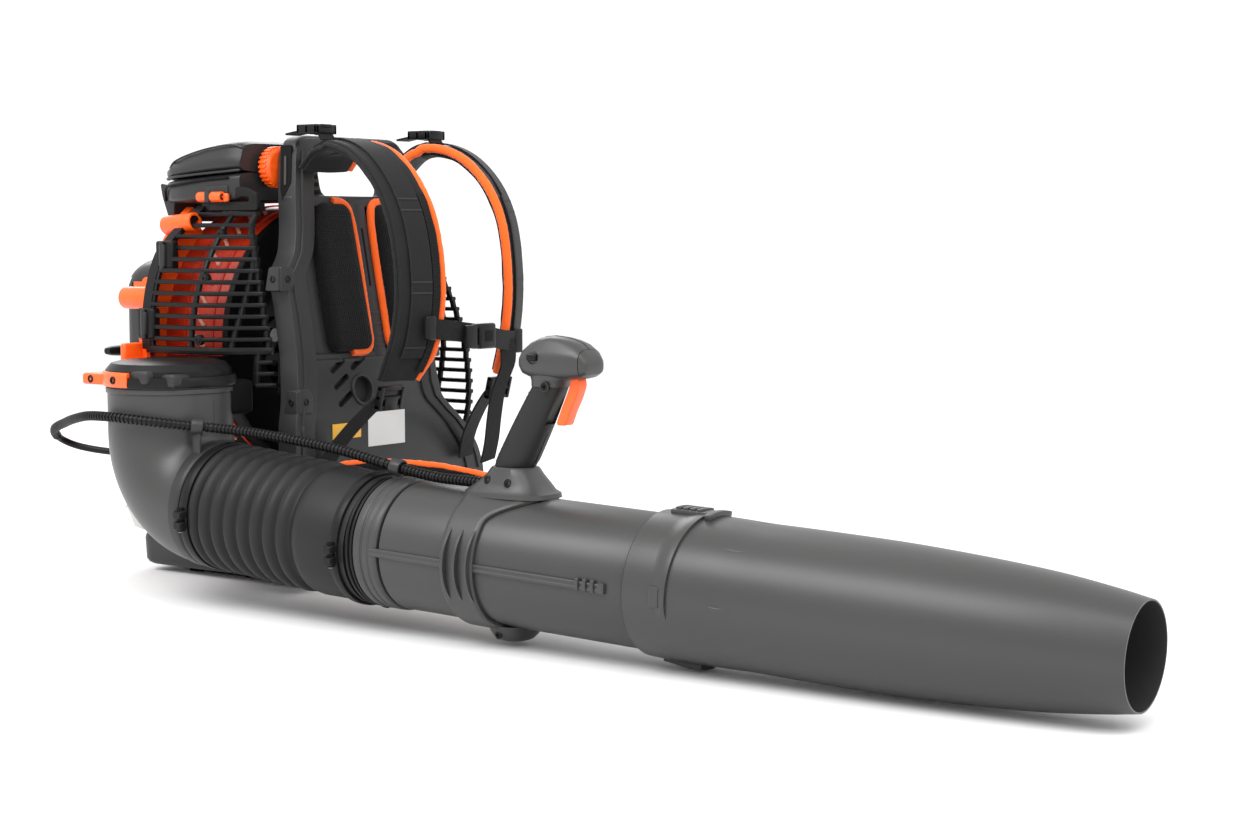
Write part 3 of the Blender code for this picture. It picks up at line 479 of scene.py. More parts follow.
looks = {
    "shell": finish("moulded_grey", (0.038, 0.0375, 0.0370), 0.36, grain=1400, depth=0.10, mottle=0.03,
                    specular=0.42),
    "frame": finish("frame_grey", (0.024, 0.024, 0.025), 0.38, grain=1200, depth=0.12, mottle=0.04,
                    specular=0.32),
    "deep": finish("engine_grey", (0.022, 0.022, 0.023), 0.40, grain=1000, depth=0.14, mottle=0.05,
                   specular=0.32),
    "rubber": finish("bellows_rubber", (0.012, 0.0122, 0.013), 0.50, grain=700, depth=0.10, mottle=0.06,
                     specular=0.26),
    "grip": finish("grip_rubber", (0.012, 0.0122, 0.013), 0.50, grain=1500, depth=0.30, mottle=0.04,
                   specular=0.28),
    "black": finish("black_plastic", (0.006, 0.006, 0.0065), 0.36, grain=900, depth=0.08, mottle=0.10,
                    specular=0.20),
    "matte": finish("matte_black", (0.004, 0.004, 0.0045), 0.60, grain=700, depth=0.10, mottle=0.10,
                    specular=0.12),
    "orange": finish("orange_plastic", (0.950, 0.105, 0.006), 0.32, grain=1000, depth=0.05, mottle=0.03,
                     coat=0.1),
    # orange plastic seen in shadow: this darker red is painted shade
    "shaded_orange": finish("shroud_red", (0.560, 0.030, 0.006), 0.38, grain=600, depth=0.05, mottle=0.20, drift=22.0),
    # pale tone for the shroud's vanes: painted highlight
    "vane_highlight": finish("shroud_vane", (0.750, 0.330, 0.230), 0.35, grain=600, depth=0.05, mottle=0.10),
    "tank": finish("tank_white", (0.500, 0.505, 0.490), 0.42, grain=500, depth=0.06, mottle=0.03,
                   subsurface=0.10),
    "alloy": finish("cast_alloy", (0.480, 0.485, 0.490), 0.42, grain=1600, depth=0.40, mottle=0.10,
                    metal=1.0),
    "steel": finish("dark_steel", (0.160, 0.165, 0.170), 0.32, grain=1800, depth=0.15, mottle=0.10,
                    metal=1.0),
    "paper": finish("filter_paper", (0.620, 0.560, 0.430), 0.85, grain=500, depth=0.30, mottle=0.06),
    "cloth": clothFinish("strap_cloth", (0.013, 0.013, 0.014), 0.0009, "weave", 0.72, 0.30, 0.10, 0.25),
    "mesh": clothFinish("pad_mesh", (0.007, 0.007, 0.0075), 0.0032, "mesh", 0.85, 0.9, 0.06, 0.7),
    "webbing": clothFinish("black_webbing", (0.008, 0.008, 0.0085), 0.0016, "webbing", 0.75, 0.6, 0.08, 0.45),
    "piping": clothFinish("orange_piping", (0.960, 0.130, 0.010), 0.0012, "piping", 0.66, 0.25, 0.25, 0.12),
    "thread": finish("black_thread", (0.010, 0.010, 0.011), 0.7, grain=2500, depth=0.2),
}
print("finishes made")


studio = {
    "eye": (1.715, -1.8237, 0.3895), "tilt": 90 - 4.86, "pan": 35.0, "lens": 61.9, "floorSize": 12.0,
    "world": 1.15,
}


def makeStudio():
    data = bpy.data.cameras.new("camera")
    data.sensor_width = 36.0
    data.lens = studio["lens"]
    camera = newObject("camera", data)
    camera.location = studio["eye"]
    camera.rotation_euler = (math.radians(studio["tilt"]), 0, math.radians(studio["pan"]))
    bpy.context.scene.camera = camera

    world = bpy.data.worlds.new("studio")
    world.use_nodes = True
    world.node_tree.nodes["Background"].inputs["Color"].default_value = (1.0, 1.0, 1.0, 1)
    world.node_tree.nodes["Background"].inputs["Strength"].default_value = studio["world"]
    bpy.context.scene.world = world

    half = studio["floorSize"] / 2
    bm = bmesh.new()
    bm.faces.new([bm.verts.new((x * half, y * half, 0)) for x, y in ((-1, -1), (1, -1), (1, 1), (-1, 1))])
    floor = fromBmesh(bm, "floor", finish("floor_white", (0.86, 0.86, 0.86), 0.9, grain=40, depth=0.0,
                                          mottle=0.0))
    # size, energy, place, aim: a broad key high on the near side, a long strip above, a soft fill in front
    lamps = [("key", (1.6, 1.1), 34, (-0.3, -1.9, 2.0), (0.2, -0.1, 0.2)),
             ("strip", (2.4, 0.5), 14, (0.9, -0.9, 1.6), (0.6, -0.2, 0.1)),
             ("rim", (1.2, 1.2), 16, (-1.4, 1.3, 1.5), (0, 0, 0.3)),
             ("fill", (1.8, 1.0), 10, (2.2, -0.2, 1.1), (0.2, 0, 0.2))]
    for name, (wide, tall), energy, place, target in lamps:
        light = bpy.data.lights.new(name, "AREA")
        light.shape = "RECTANGLE"
        light.size, light.size_y = wide, tall
        light.energy = energy
        lamp = newObject(name, light)
        lamp.location = place
        lamp.rotation_euler = (Vector(place) - Vector(target)).to_track_quat("Z", "Y").to_euler()


makeStudio()
bpy.context.scene.view_settings.view_transform = "Standard"
print("studio made")


duct = {
    "y": -0.235, "tubeR": 0.0630, "slope": -0.0345, "z": 0.0865, "at": 0.318,
    "hoseStart": (0.0925, -0.235, 0.1052), "hoseEnd": 0.318, "tubeEnd": 0.735, "nozzle": 0.646,
    "mouth": 1.103,
}
duct["way"] = Vector((1, 0, duct["slope"])).normalized()
duct["over"] = Vector((-duct["slope"], 0, 1)).normalized()


def onTube(x):
    return Vector((x, duct["y"], duct["z"] + duct["slope"] * (x - duct["at"])))


def onSkin(x, turn, radius):
    # turn is 0 on top and 90 degrees on the handle side, which faces -Y
    a = math.radians(turn)
    return onTube(x) + radius * (math.cos(a) * duct["over"] - math.sin(a) * across)


def skinBlock(name, ends, turns, base, top, look, counts=(8, 24), bevel=0.0, sharp=40):
    # a raised piece that follows the tube's skin; ends(v) and top(u, v) shape it
    nx, na = counts
    bm = bmesh.new()
    grids = []
    for height in (lambda u, v: base, top):
        grid = []
        for j in range(na + 1):
            v = j / na
            low, high = ends(v)
            grid.append([bm.verts.new(onSkin(mix(low, high, i / nx), mix(turns[0], turns[1], v),
                                             height(i / nx, v)))
                         for i in range(nx + 1)])
        grids.append(grid)
    for grid in grids:
        for j in range(na):
            for i in range(nx):
                bm.faces.new((grid[j][i], grid[j][i + 1], grid[j + 1][i + 1], grid[j + 1][i]))
    inner, outer = grids
    for j in range(na):
        for i in (0, nx):
            bm.faces.new((inner[j][i], inner[j + 1][i], outer[j + 1][i], outer[j][i]))
    for i in range(nx):
        for j in (0, na):
            bm.faces.new((inner[j][i], inner[j][i + 1], outer[j][i + 1], outer[j][i]))
    bmesh.ops.recalc_face_normals(bm, faces=bm.faces)
    obj = fromBmesh(bm, name, look, sharp, tidy=False)
    return softened(obj, bevel, 2) if bevel else obj


def constant(value):
    return lambda u, v: value


nozzle = {"dimples": 8, "dimpleX": 0.753, "dimpleLength": 0.019, "dimpleWidth": 0.0023, "bandHeight": 0.0030,
          "bandEnds": (0.676, 0.694), "footDepth": 0.0055, "bumps": 4}


def makeNozzle():
    reach = duct["mouth"] - duct["nozzle"]
    outer = [(0.0645, 0.0), (0.0668, 0.0025), (0.0672, 0.018), (0.0670, 0.050), (0.0664, 0.082),
             (0.0656, 0.110),
             (0.0655, reach - 0.300), (0.0645, reach - 0.215), (0.0612, reach - 0.140),
             (0.0566, reach - 0.078),
             (0.0505, reach - 0.030), (0.0462, reach - 0.004), (0.0455, reach)]
    inner = [(0.0440, reach), (0.0440, reach - 0.004), (0.0486, reach - 0.030), (0.0546, reach - 0.078),
             (0.0592, reach - 0.140), (0.0622, reach - 0.215), (0.0634, 0.100), (0.0636, 0.0)]
    outerCurve = smoothRoute([(r, a, 0) for r, a in outer[4:]], 0.010)
    innerCurve = smoothRoute([(r, a, 0) for r, a in inner[1:-1]], 0.012)
    profile = [(r, a) for r, a in outer[:4]] + [(p.x, p.y) for p in outerCurve] + [inner[0]]
    profile += [(p.x, p.y) for p in innerCurve] + [inner[-1]]
    shell = lathe("nozzle_shell", profile, onTube(duct["nozzle"]), duct["way"], looks["shell"], steps=144)
    cutters = []
    for k in range(nozzle["dimples"]):
        turn = 360 * k / nozzle["dimples"]
        spot = onSkin(nozzle["dimpleX"] - 0.006 * (k == 2), turn, 0.0672)
        outward = (spot - onTube(spot.x)).normalized()
        side = outward.cross(duct["way"]).normalized()
        rings = []
        for i in range(17):
            t = -1 + i / 8
            wide = max(0.0001, math.cos(t * math.pi / 2))
            centre = spot + duct["way"] * nozzle["dimpleLength"] * t * 0.999
            rings.append(oval(centre, nozzle["dimpleWidth"] * wide, nozzle["dimpleWidth"] * 0.85 * wide,
                              side, outward,
                              2.0, 12))
        cutters.append(loft("dimple", rings, looks["shell"]))
    shell = carved(shell, cutters, sharp=28)
    low, high = nozzle["bandEnds"]
    rise = nozzle["bandHeight"]

    def bandTop(u, v):
        fade = ease((1 - v) / 0.16)
        return 0.0664 + rise * fade * (0.25 + 0.75 * ease(u * 1.15))
    band = skinBlock("band", lambda v: (low + 0.004 * v, high + 0.006 * (1 - v) ** 2), (-6, 112), 0.0640,
                     bandTop,
                     looks["shell"], (8, 48), sharp=30)
    hook = skinBlock("hook", lambda v: (low + 0.002, high - 0.006), (82, 97), 0.0640,
                     constant(0.0664 + rise * 1.02),
                     looks["shell"], (4, 8), 0.0006)
    rack = skinBlock("rack", lambda v: (0.6600, 0.7060), (-12, 9), 0.0640, constant(0.0706), looks["shell"],
                     (6, 6),
                     0.0010)
    teeth = [skinBlock("tooth", lambda v, k=k: (0.6640 + 0.0074 * k, 0.6695 + 0.0074 * k), (-10, 7), 0.0690,
                       constant(0.0725), looks["shell"], (2, 6), 0.0009) for k in range(nozzle["bumps"])]
    lip = skinBlock("lip", lambda v: (0.7010, 0.7080), (-14, 16), 0.0640, constant(0.0718), looks["shell"],
                    (3, 8),
                    0.0010)
    foot = skinBlock("foot", lambda v: (0.6590 + 0.004 * abs(v - 0.5), 0.7020), (166, 194), 0.0640,
                     lambda u, v: 0.0664 + nozzle["footDepth"] * (0.55 + 0.45 * ease(u * 1.6)),
                     looks["deep"], (8, 10),
                     0.0010)
    piece = merged("nozzle_body", [shell, band, hook, rack, lip, foot, *teeth], 32)
    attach(piece, "nozzle")
    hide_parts("nozzle")


tube = {"railTurns": (86.6, 93.4), "rail": (0.352, 0.6275), "railHeight": 0.0032,
        "notches": (0.599, 0.6075, 0.616)}


def makeTube():
    length = duct["tubeEnd"] - duct["hoseEnd"]
    r = duct["tubeR"]
    profile = [(0.0565, length), (r - 0.0012, length), (r - 0.0006, length - 0.001), (r - 0.0002, 0.075),
               (r, 0.0445),
               (0.0586, 0.0436), (0.0586, 0.0135), (0.0550, 0.0135)]
    body = lathe("tube_wall", profile, onTube(duct["hoseEnd"]), duct["way"], looks["shell"], steps=144)
    height = tube["railHeight"]
    low, high = tube["rail"]

    def railTop(u, v):
        edge = min(v, 1 - v)
        swell = height * (0.72 + 0.28 * ease(edge * 9)) * ease((1 - u) * 60)
        return r + swell - 0.0009 * ease(1 - abs(v - 0.5) * 3.2)
    rail = skinBlock("rail", lambda v: (low, high), tube["railTurns"], r - 0.003, railTop, looks["shell"],
                     (60, 14),
                     sharp=30)
    pieces = [body, rail]
    for x in tube["notches"]:
        pieces.append(skinBlock("tooth", lambda v, x=x: (x - 0.0018, x + 0.0018), (84.2, 94.0), r - 0.003,
                                lambda u, v: r + 0.0050 - 0.0012 * abs(v - 0.4), looks["shell"], (2, 8),
                                0.0008))
    pieces.append(skinBlock("railEnd", lambda v: (0.6215, 0.6285), (85.6, 94.2), r - 0.003,
                            constant(r + 0.0040),
                            looks["shell"], (3, 6), 0.0008))
    piece = merged("tube_body", pieces, 32)
    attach(piece, "tube")
    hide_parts("blower_tube")

    start = onTube(duct["hoseEnd"] + 0.0010)
    seal = [(0.0560, 0.0)] + [(p[0], p[1]) for p in rounded(
        [(0.0636, 0.0), (0.0648, 0.0015), (0.0648, 0.0042), (0.0622, 0.0050), (0.0622, 0.0066),
         (0.0650, 0.0074),
         (0.0650, 0.0098), (0.0600, 0.0106)], 0.0008, 3, closed=False)] + [(0.0560, 0.0106)]
    rings = lathe("seal", seal, start, duct["way"], looks["black"], steps=144)
    shape = rounded([(0.0630, 0.0108), (0.0648, 0.0116), (0.0650, 0.0160), (0.0650, 0.0200), (0.0636, 0.0206),
                     (0.0636, 0.0226), (0.0649, 0.0232), (0.0648, 0.0290), (0.0640, 0.0298), (0.0640, 0.0312),
                     (0.0650, 0.0318), (0.0648, 0.0372), (0.0636, 0.0398),
                     (0.0620, 0.0402)], 0.0007, 3, closed=False)
    collar = lathe("collar", [(0.0592, 0.0108)] + [(p[0], p[1]) for p in shape] + [(0.0592, 0.0402)], start,
                   duct["way"], looks["shell"], steps=144)
    ring = merged("swivel_ring", [rings, collar], 32)
    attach(ring, "hose_end")
    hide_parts("swivel_collar")


hose = {"ribs": 7, "ribFrom": 0.0240, "pitch": 0.0182, "crest": 0.0668, "valley": 0.0604,
        "split": 0.206, "steps": 120}


def makeHose():
    start = Vector(duct["hoseStart"])
    end = onTube(duct["hoseEnd"])
    way = (end - start).normalized()
    reach = (end - start).length
    split = (hose["split"] - start.x) / way.x
    # the outside line of the whole hose, as (radius, distance)
    line = [(0.0640, 0.0), (0.0640, 0.0125), (0.0656, 0.0140), (0.0662, 0.0165), (0.0660, 0.0195),
            (0.0640, 0.0215)]
    for k in range(hose["ribs"]):
        base = hose["ribFrom"] + k * hose["pitch"]
        for t, h in ((0.0, 0.0), (0.07, 0.04), (0.15, 0.45), (0.24, 0.85), (0.36, 1.0), (0.50, 0.96),
                     (0.64, 0.88),
                     (0.76, 0.60), (0.85, 0.22), (0.93, 0.03)):
            line.append((mix(hose["valley"], hose["crest"], h), base + t * hose["pitch"]))
    tail = hose["ribFrom"] + hose["ribs"] * hose["pitch"]
    line += [(hose["valley"], tail), (0.0625, tail + 0.004), (0.0656, tail + 0.009), (0.0662, tail + 0.016),
             (0.0655, tail + 0.030), (0.0645, reach - 0.022), (0.0640, reach - 0.0195),
             (0.0640, reach - 0.0006)]
    for name, low, high, body, cad, bend in (
            ("bellows_rear", 0.0, split, ("root", "hose_middle"), "hose_rear", (0.104, 0.200)),
            ("bellows_front", split, reach, ("hose_middle", "hose_end"), "hose_front", (0.212, 0.300))):
        outside = [p for p in line if low <= p[1] <= high]
        if low == 0.0:
            nextOne = next(p for p in line if p[1] > high)
            outside.append((mix(outside[-1][0], nextOne[0],
                                (high - outside[-1][1]) / (nextOne[1] - outside[-1][1])),
                            high))
            joint = outside[-1]
        else:
            outside.insert(0, joint)
        inside = [(r - 0.0028, a) for r, a in reversed(outside)]
        piece = lathe(name, outside + inside, start, way, looks["rubber"], hose["steps"], 60)
        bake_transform(piece)
        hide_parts(cad)
    return start, way, reach


def makeClamp(name, centre, way, width, radius, lugs, node, body):
    # a moulded band with split lugs and a screw through each
    half = width / 2
    profile = rounded([(radius - 0.0008, -half), (radius + 0.0024, -half), (radius + 0.0028, 0),
                       (radius + 0.0024, half),
                       (radius - 0.0008, half)], 0.0008, 3)
    pieces = [lathe("band", [(p[0], p[1]) for p in profile], centre, way, looks["black"], 120)]
    over = Vector((-way.z, 0, way.x))
    for turn in lugs:
        a = math.radians(turn)
        outward = math.cos(a) * over - math.sin(a) * across
        around = way.cross(outward).normalized()
        for side in (-1, 1):
            spot = centre + outward * (radius + 0.0052) + around * side * 0.0056
            ring = []
            for depth, grow in ((-0.0065, 1.0), (-0.004, 1.0), (0.0035, 0.96), (0.0052, 0.78)):
                ring.append(oval(spot + outward * depth, half * 0.98 * grow, 0.0046 * grow, way, around, 4.5,
                                 28))
            pieces.append(loft("lug", ring, looks["black"]))
        bar = rod("bolt", centre + outward * (radius + 0.0048) - around * 0.0122,
                  centre + outward * (radius + 0.0048) + around * 0.0122, 0.0034, looks["matte"], 20,
                  bevel=0.0006)
        head = rod("bolt_head", centre + outward * (radius + 0.0048) + around * 0.0118,
                   centre + outward * (radius + 0.0048) + around * 0.0134, 0.0024, looks["steel"], 6)
        pieces += [bar, head]
    piece = merged(name, pieces)
    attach(piece, body)
    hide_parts(node)


elbow = {"x": 0.014, "top": 0.2285, "bendR": 0.072, "bendZ": 0.178, "radius": 0.0655, "wall": 0.0035,
         "sides": 96}


def makeElbow(hoseStart, way):
    sweep = math.pi / 2 + math.atan(way.z / way.x)
    centre = Vector((elbow["x"] + elbow["bendR"], duct["y"], elbow["bendZ"]))
    spine = [Vector((elbow["x"], duct["y"], z)) for z in (elbow["top"], 0.215, 0.200, 0.188)]
    for k in range(25):
        turn = sweep * k / 24
        spine.append(centre + elbow["bendR"] * Vector((-math.cos(turn), 0, -math.sin(turn))))
    spine.append(hoseStart - way * 0.0012)
    outer = strip("elbow_wall", spine, circle(elbow["radius"], elbow["sides"]), looks["shell"], side=across,
                  caps=False)
    outer.data.materials.clear()
    outer.data.materials.append(looks["shell"])
    wall = outer.modifiers.new("wall", "SOLIDIFY")
    wall.thickness = elbow["wall"]
    wall.offset = -1
    outer = plain(outer, 60)
    # the moulding's two halves meet on a fine seam in the middle plane
    seam = []
    for side in (-1, 1):
        edge = []
        for i, p in enumerate(spine[1:-1]):
            ahead = (spine[i + 2] - spine[i]).normalized()
            out = Vector((ahead.z, 0, -ahead.x))
            edge.append(p + out * side * (elbow["radius"] + 0.0001))
        seam.append(cord("seam", edge, 0.0007, looks["shell"], 8))
    flange = lathe("flange", rounded([(0.0625, -0.014), (0.0668, -0.014), (0.0668, -0.003), (0.0655, 0.0),
                                      (0.0625, 0.0)],
                                     0.001, 3), hoseStart - way * 0.0010, way, looks["deep"], 120)
    lip = lathe("lip", rounded([(0.0625, 0.0), (0.0672, 0.0), (0.0672, 0.0060), (0.0625, 0.0060)], 0.0012, 3),
                (elbow["x"], duct["y"], elbow["top"] - 0.0070), up, looks["shell"], 120)
    piece = merged("elbow_body", [outer, *seam, flange, lip], 45)
    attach(piece, "root")
    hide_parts("elbow")


handle = {"x": 0.472, "gripBase": (0.4790, 0.1704), "gripTop": (0.5240, 0.2528), "gripR": (0.0215, 0.0172),
          "finX": (0.4475, 0.4615, 0.4755), "finRise": 0.0062, "screws": ((0.4630, 0.1585), (0.4880, 0.1565))}


def makeHandleClamp():
    r = duct["tubeR"]

    def ends(v):
        # the band widens into the socket at the top and into the foot below
        turn = mix(-100, 180, v)
        wide = 0.013 * ease((38 - abs(turn)) / 38)
        low = 0.4400 - wide * 0.9
        high = 0.4790 + 0.037 * ease((52 - abs(turn)) / 40) + 0.012 * ease((turn - 140) / 34)
        return low, high
    band = skinBlock("band", ends, (-100, 180), r + 0.0004,
                     lambda u, v: r + 0.0044 - 0.0014 * ease(1 - min(u, 1 - u) * 14), looks["shell"],
                     (24, 96), sharp=30)
    far = skinBlock("far", lambda v: (0.4400, 0.4790 + 0.012 * ease((v - 0.5) / 0.5)), (-100, -180),
                    r + 0.0004,
                    lambda u, v: r + 0.0044 - 0.0014 * ease(1 - min(u, 1 - u) * 14), looks["shell"],
                    (24, 30), sharp=30)
    pieces = [band, far]
    for x in handle["finX"]:
        pieces.append(skinBlock("fin", lambda v, x=x: (x - 0.0013, x + 0.0013), (58, 122), r + 0.001,
                                lambda u, v: r + 0.0034 + handle["finRise"] * math.sin(math.pi * v) ** 0.8,
                                looks["shell"], (3, 36), sharp=50))
    # socket: from the saddle on the tube to the grip's foot
    rings = []
    for z, low, high, half, power in ((0.1420, 0.4285, 0.5240, 0.0300, 3.2),
                                      (0.1465, 0.4290, 0.5235, 0.0290, 3.2),
                                      (0.1490, 0.4335, 0.5180, 0.0262, 3.4),
                                      (0.1560, 0.4440, 0.5120, 0.0240, 3.2),
                                      (0.1630, 0.4525, 0.5060, 0.0218, 2.8),
                                      (0.1690, 0.4565, 0.5020, 0.0205, 2.5),
                                      (0.1702, 0.4575, 0.5010, 0.0190, 2.4)):
        rings.append(oval(((low + high) / 2, duct["y"], z), (high - low) / 2, half, (1, 0, 0), across, power,
                          64))
    socket = loft("socket", rings, looks["shell"], sharp=50)
    holes = []
    spots = []
    for x, z in handle["screws"]:
        holes.append(rod("hole", (x, duct["y"] - 0.05, z), (x, duct["y"] - 0.0215, z), 0.0042,
                         looks["black"], 28))
        spots.append(((x, duct["y"] - 0.0222, z), (0, -1, 0), (1, 0, 0)))
    socket = carved(socket, holes, sharp=40)
    pieces.append(socket)
    low = onTube(handle["x"])
    foot = []
    for depth, a, b, power in ((0.060, 0.020, 0.028, 3.0), (0.066, 0.019, 0.026, 3.2),
                               (0.0715, 0.0165, 0.022, 3.2),
                               (0.0752, 0.0140, 0.017, 3.0), (0.0762, 0.0115, 0.014, 2.6)):
        foot.append(oval(low - duct["over"] * depth + Vector((0.010, 0, 0)), a, b, duct["way"], across,
                         power, 48))
    pieces.append(loft("foot", foot, looks["shell"], sharp=50))
    spots.append((low - duct["over"] * 0.0690 + Vector((0.008, -0.0255, 0)), (0, -1, 0), (1, 0, 0)))
    pieces.append(spread("screws", spots, screwShape(0.0040), looks["black"]))
    piece = merged("handle_socket", pieces, 34)
    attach(piece, "handle")
    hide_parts("handle_clamp")


def makeGrip():
    base = Vector((handle["gripBase"][0], duct["y"], handle["gripBase"][1]))
    top = Vector((handle["gripTop"][0], duct["y"], handle["gripTop"][1]))
    rings = []
    for k in range(33):
        t = k / 32
        r = mix(*handle["gripR"], t) + 0.0012 * math.sin(math.pi * t)
        trim = 0.0012 * (ease(1 - t * 12) + ease((t - 0.95) * 20))
        rings.append(oval(base.lerp(top, t), r - trim, r * 0.80 - trim, (1, 0, 0), across, 2.25, 56))
    grip = loft("grip_sleeve", rings, looks["grip"], sharp=50)
    # a shallow channel lets the trigger swing in
    slot = block("slot", (0.5295, duct["y"] - 0.0078, 0.2120), (0.5600, duct["y"] + 0.0078, 0.2545),
                 looks["grip"], 0,
                 shape=lambda p: (p.x + (p.z - 0.2330) * 0.546, p.y, p.z))
    grip = carved(grip, [slot], sharp=50)
    rows = []
    for side in (-1, 1):
        for k in range(14):
            t = 0.12 + 0.055 * k
            p = base.lerp(top, t)
            r = mix(*handle["gripR"], t)
            rows.append((p + Vector((-r * 0.80, side * r * 0.50, 0)), (-0.6, side * 0.8, 0.0),
                         (0.4, side * 0.3, 0.8)))
    nub = block("nub", (-0.0030, -0.0012, -0.0012), (0.0030, 0.0012, 0.0005), looks["grip"], 0.0005, 2)
    nubs = spread("grip_nubs", rows, nub, looks["grip"])
    seam = cord("grip_seam", [base.lerp(top, k / 10) + Vector((mix(*handle["gripR"], k / 10) + 0.0008, 0, 0))
                              for k in range(5)], 0.0006, looks["grip"], 8)
    piece = merged("grip_cover", [grip, nubs, seam], 45)
    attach(piece, "handle")
    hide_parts("handle_grip")


head = {
    # place along X, lowest and highest Z, half width
    "ribs": ((0.4925, 0.2660, 0.2720, 0.0090), (0.4940, 0.2628, 0.2765, 0.0135),
             (0.4985, 0.2580, 0.2832, 0.0172),
             (0.5060, 0.2555, 0.2892, 0.0192), (0.5160, 0.2545, 0.2934, 0.0203),
             (0.5280, 0.2540, 0.2946, 0.0209),
             (0.5400, 0.2540, 0.2936, 0.0210), (0.5500, 0.2545, 0.2916, 0.0208),
             (0.5590, 0.2555, 0.2884, 0.0200),
             (0.5660, 0.2570, 0.2830, 0.0184), (0.5705, 0.2600, 0.2760, 0.0155),
             (0.5718, 0.2630, 0.2720, 0.0120)),
    "screw": (0.5265, 0.2480),
}


def makeHead():
    rings = []
    for x, low, high, half in head["ribs"]:
        ring = oval((x, duct["y"], (low + high) / 2), half, (high - low) / 2, across, up, 3.4, 72)
        for p in ring:
            # the sides lean in above the edge that runs along the head, which gives its flat facets
            lift = (p.z - 0.2740) / 0.020
            if lift > 0:
                p.y = duct["y"] + (p.y - duct["y"]) * (1 - 0.20 * ease(lift * 1.3))
        rings.append(ring)
    crown = loft("crown", rings, looks["shell"], sharp=26)
    gap = block("gap", (0.5652, duct["y"] - 0.03, 0.24), (0.5659, duct["y"] + 0.03, 0.31), looks["black"], 0)
    pocket = rod("pocket", (0.5150, duct["y"] - 0.03, 0.2750), (0.5150, duct["y"] - 0.0185, 0.2750), 0.0065,
                 looks["black"], 28)
    slot = block("slot", (0.5385, duct["y"] - 0.0080, 0.2400), (0.5640, duct["y"] + 0.0080, 0.2620),
                 looks["matte"], 0)
    neck = []
    for z, x, a, b in ((0.2475, 0.5215, 0.0180, 0.0150), (0.2530, 0.5235, 0.0200, 0.0160),
                       (0.2565, 0.5265, 0.0240, 0.0172), (0.2620, 0.5290, 0.0275, 0.0180)):
        neck.append(oval((x, duct["y"], z), a, b, (1, 0, 0), across, 2.6, 56))
    crown = carved(crown, [gap, pocket, slot], sharp=26)
    collar = loft("neck", neck, looks["shell"], sharp=50)
    seam = cord("head_seam", [Vector((x, duct["y"], high + 0.00005)) for x, _, high,
                              _ in head["ribs"][2:-2]], 0.0005,
                looks["deep"], 8)
    x, z = head["screw"]
    screw = spread("screw", [((x, duct["y"] - 0.0168, z), (0, -1, 0), (1, 0, 0))], screwShape(0.0036),
                   looks["black"])
    ring = lathe("screw_ring", rounded([(0.0036, -0.001), (0.0048, -0.001), (0.0048, 0.0007),
                                        (0.0036, 0.0007)], 0.0003,
                                       2), (x, duct["y"] - 0.0170, z), (0, -1, 0), looks["deep"], 32)
    piece = merged("control_head", [crown, collar, seam, screw, ring], 30)
    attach(piece, "handle")
    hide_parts("handle_head")

    blade = [(0.5492, 0.2600), (0.5562, 0.2592), (0.5588, 0.2500), (0.5545, 0.2380), (0.5480, 0.2255),
             (0.5440, 0.2160), (0.5425, 0.2120), (0.5330, 0.2118), (0.5325, 0.2150), (0.5385, 0.2290),
             (0.5470, 0.2470)]
    lever = plate("trigger_blade", rounded(blade, 0.004, 4), duct["y"] - 0.0068, duct["y"] + 0.0068, "Y",
                  looks["orange"], 0.0022, 4)
    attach(lever, "trigger")
    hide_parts("throttle_trigger")
    knob = block("stop_slider", (0.5095, duct["y"] - 0.0232, 0.2718), (0.5205, duct["y"] - 0.0176, 0.2782),
                 looks["black"], 0.0014, 3)
    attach(knob, "stop_switch")
    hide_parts("stop_switch")


hoseStart, hoseWay, hoseReach = makeHose()
makeElbow(hoseStart, hoseWay)
makeClamp("elbow_clamp", hoseStart + hoseWay * 0.0072, hoseWay, 0.0110, 0.0648, (96, 196), "rear_hose_clamp",
          "root")
makeClamp("collar_clamp", hoseStart + hoseWay * (hoseReach - 0.0120), hoseWay, 0.0100, 0.0645, (97, 200),
          "front_hose_clamp", "hose_end")
makeTube()
makeNozzle()
makeHandleClamp()
makeGrip()
makeHead()
print("duct and handle made")


def barTree():
    # every line of the input becomes a bar with a rounded section
    tree, start, end, add = nodeTree("barsAlongEdges", [
        ("Wide", "NodeSocketFloat", 0.006), ("Thick", "NodeSocketFloat", 0.004), ("Corner",
                                                                                  "NodeSocketFloat", 0.001),
        ("Finish", "NodeSocketMaterial", None)])
    path = add("GeometryNodeMeshToCurve", [("Mesh", start.outputs["Geometry"])])
    level = add("GeometryNodeSetCurveNormal", [("Curve", path.outputs["Curve"])], mode="Z_UP")
    box = add("GeometryNodeCurvePrimitiveQuadrilateral", [("Width", start.outputs["Wide"]),
                                                          ("Height", start.outputs["Thick"])])
    soft = add("GeometryNodeFilletCurve", [("Curve", box.outputs["Curve"]),
                                           ("Radius", start.outputs["Corner"]),
                                           ("Count", 2)], mode="POLY")
    skin = add("GeometryNodeCurveToMesh", [("Curve", level.outputs["Curve"]),
                                           ("Profile Curve", soft.outputs["Curve"]),
                                           ("Fill Caps", True)])
    real = add("GeometryNodeRealizeInstances", [("Geometry", skin.outputs["Mesh"])])
    paint = add("GeometryNodeSetMaterial", [("Geometry", real.outputs["Geometry"]),
                                            ("Material", start.outputs["Finish"])])
    tree.links.new(paint.outputs["Geometry"], end.inputs["Geometry"])
    return tree


trees["bars"] = barTree()


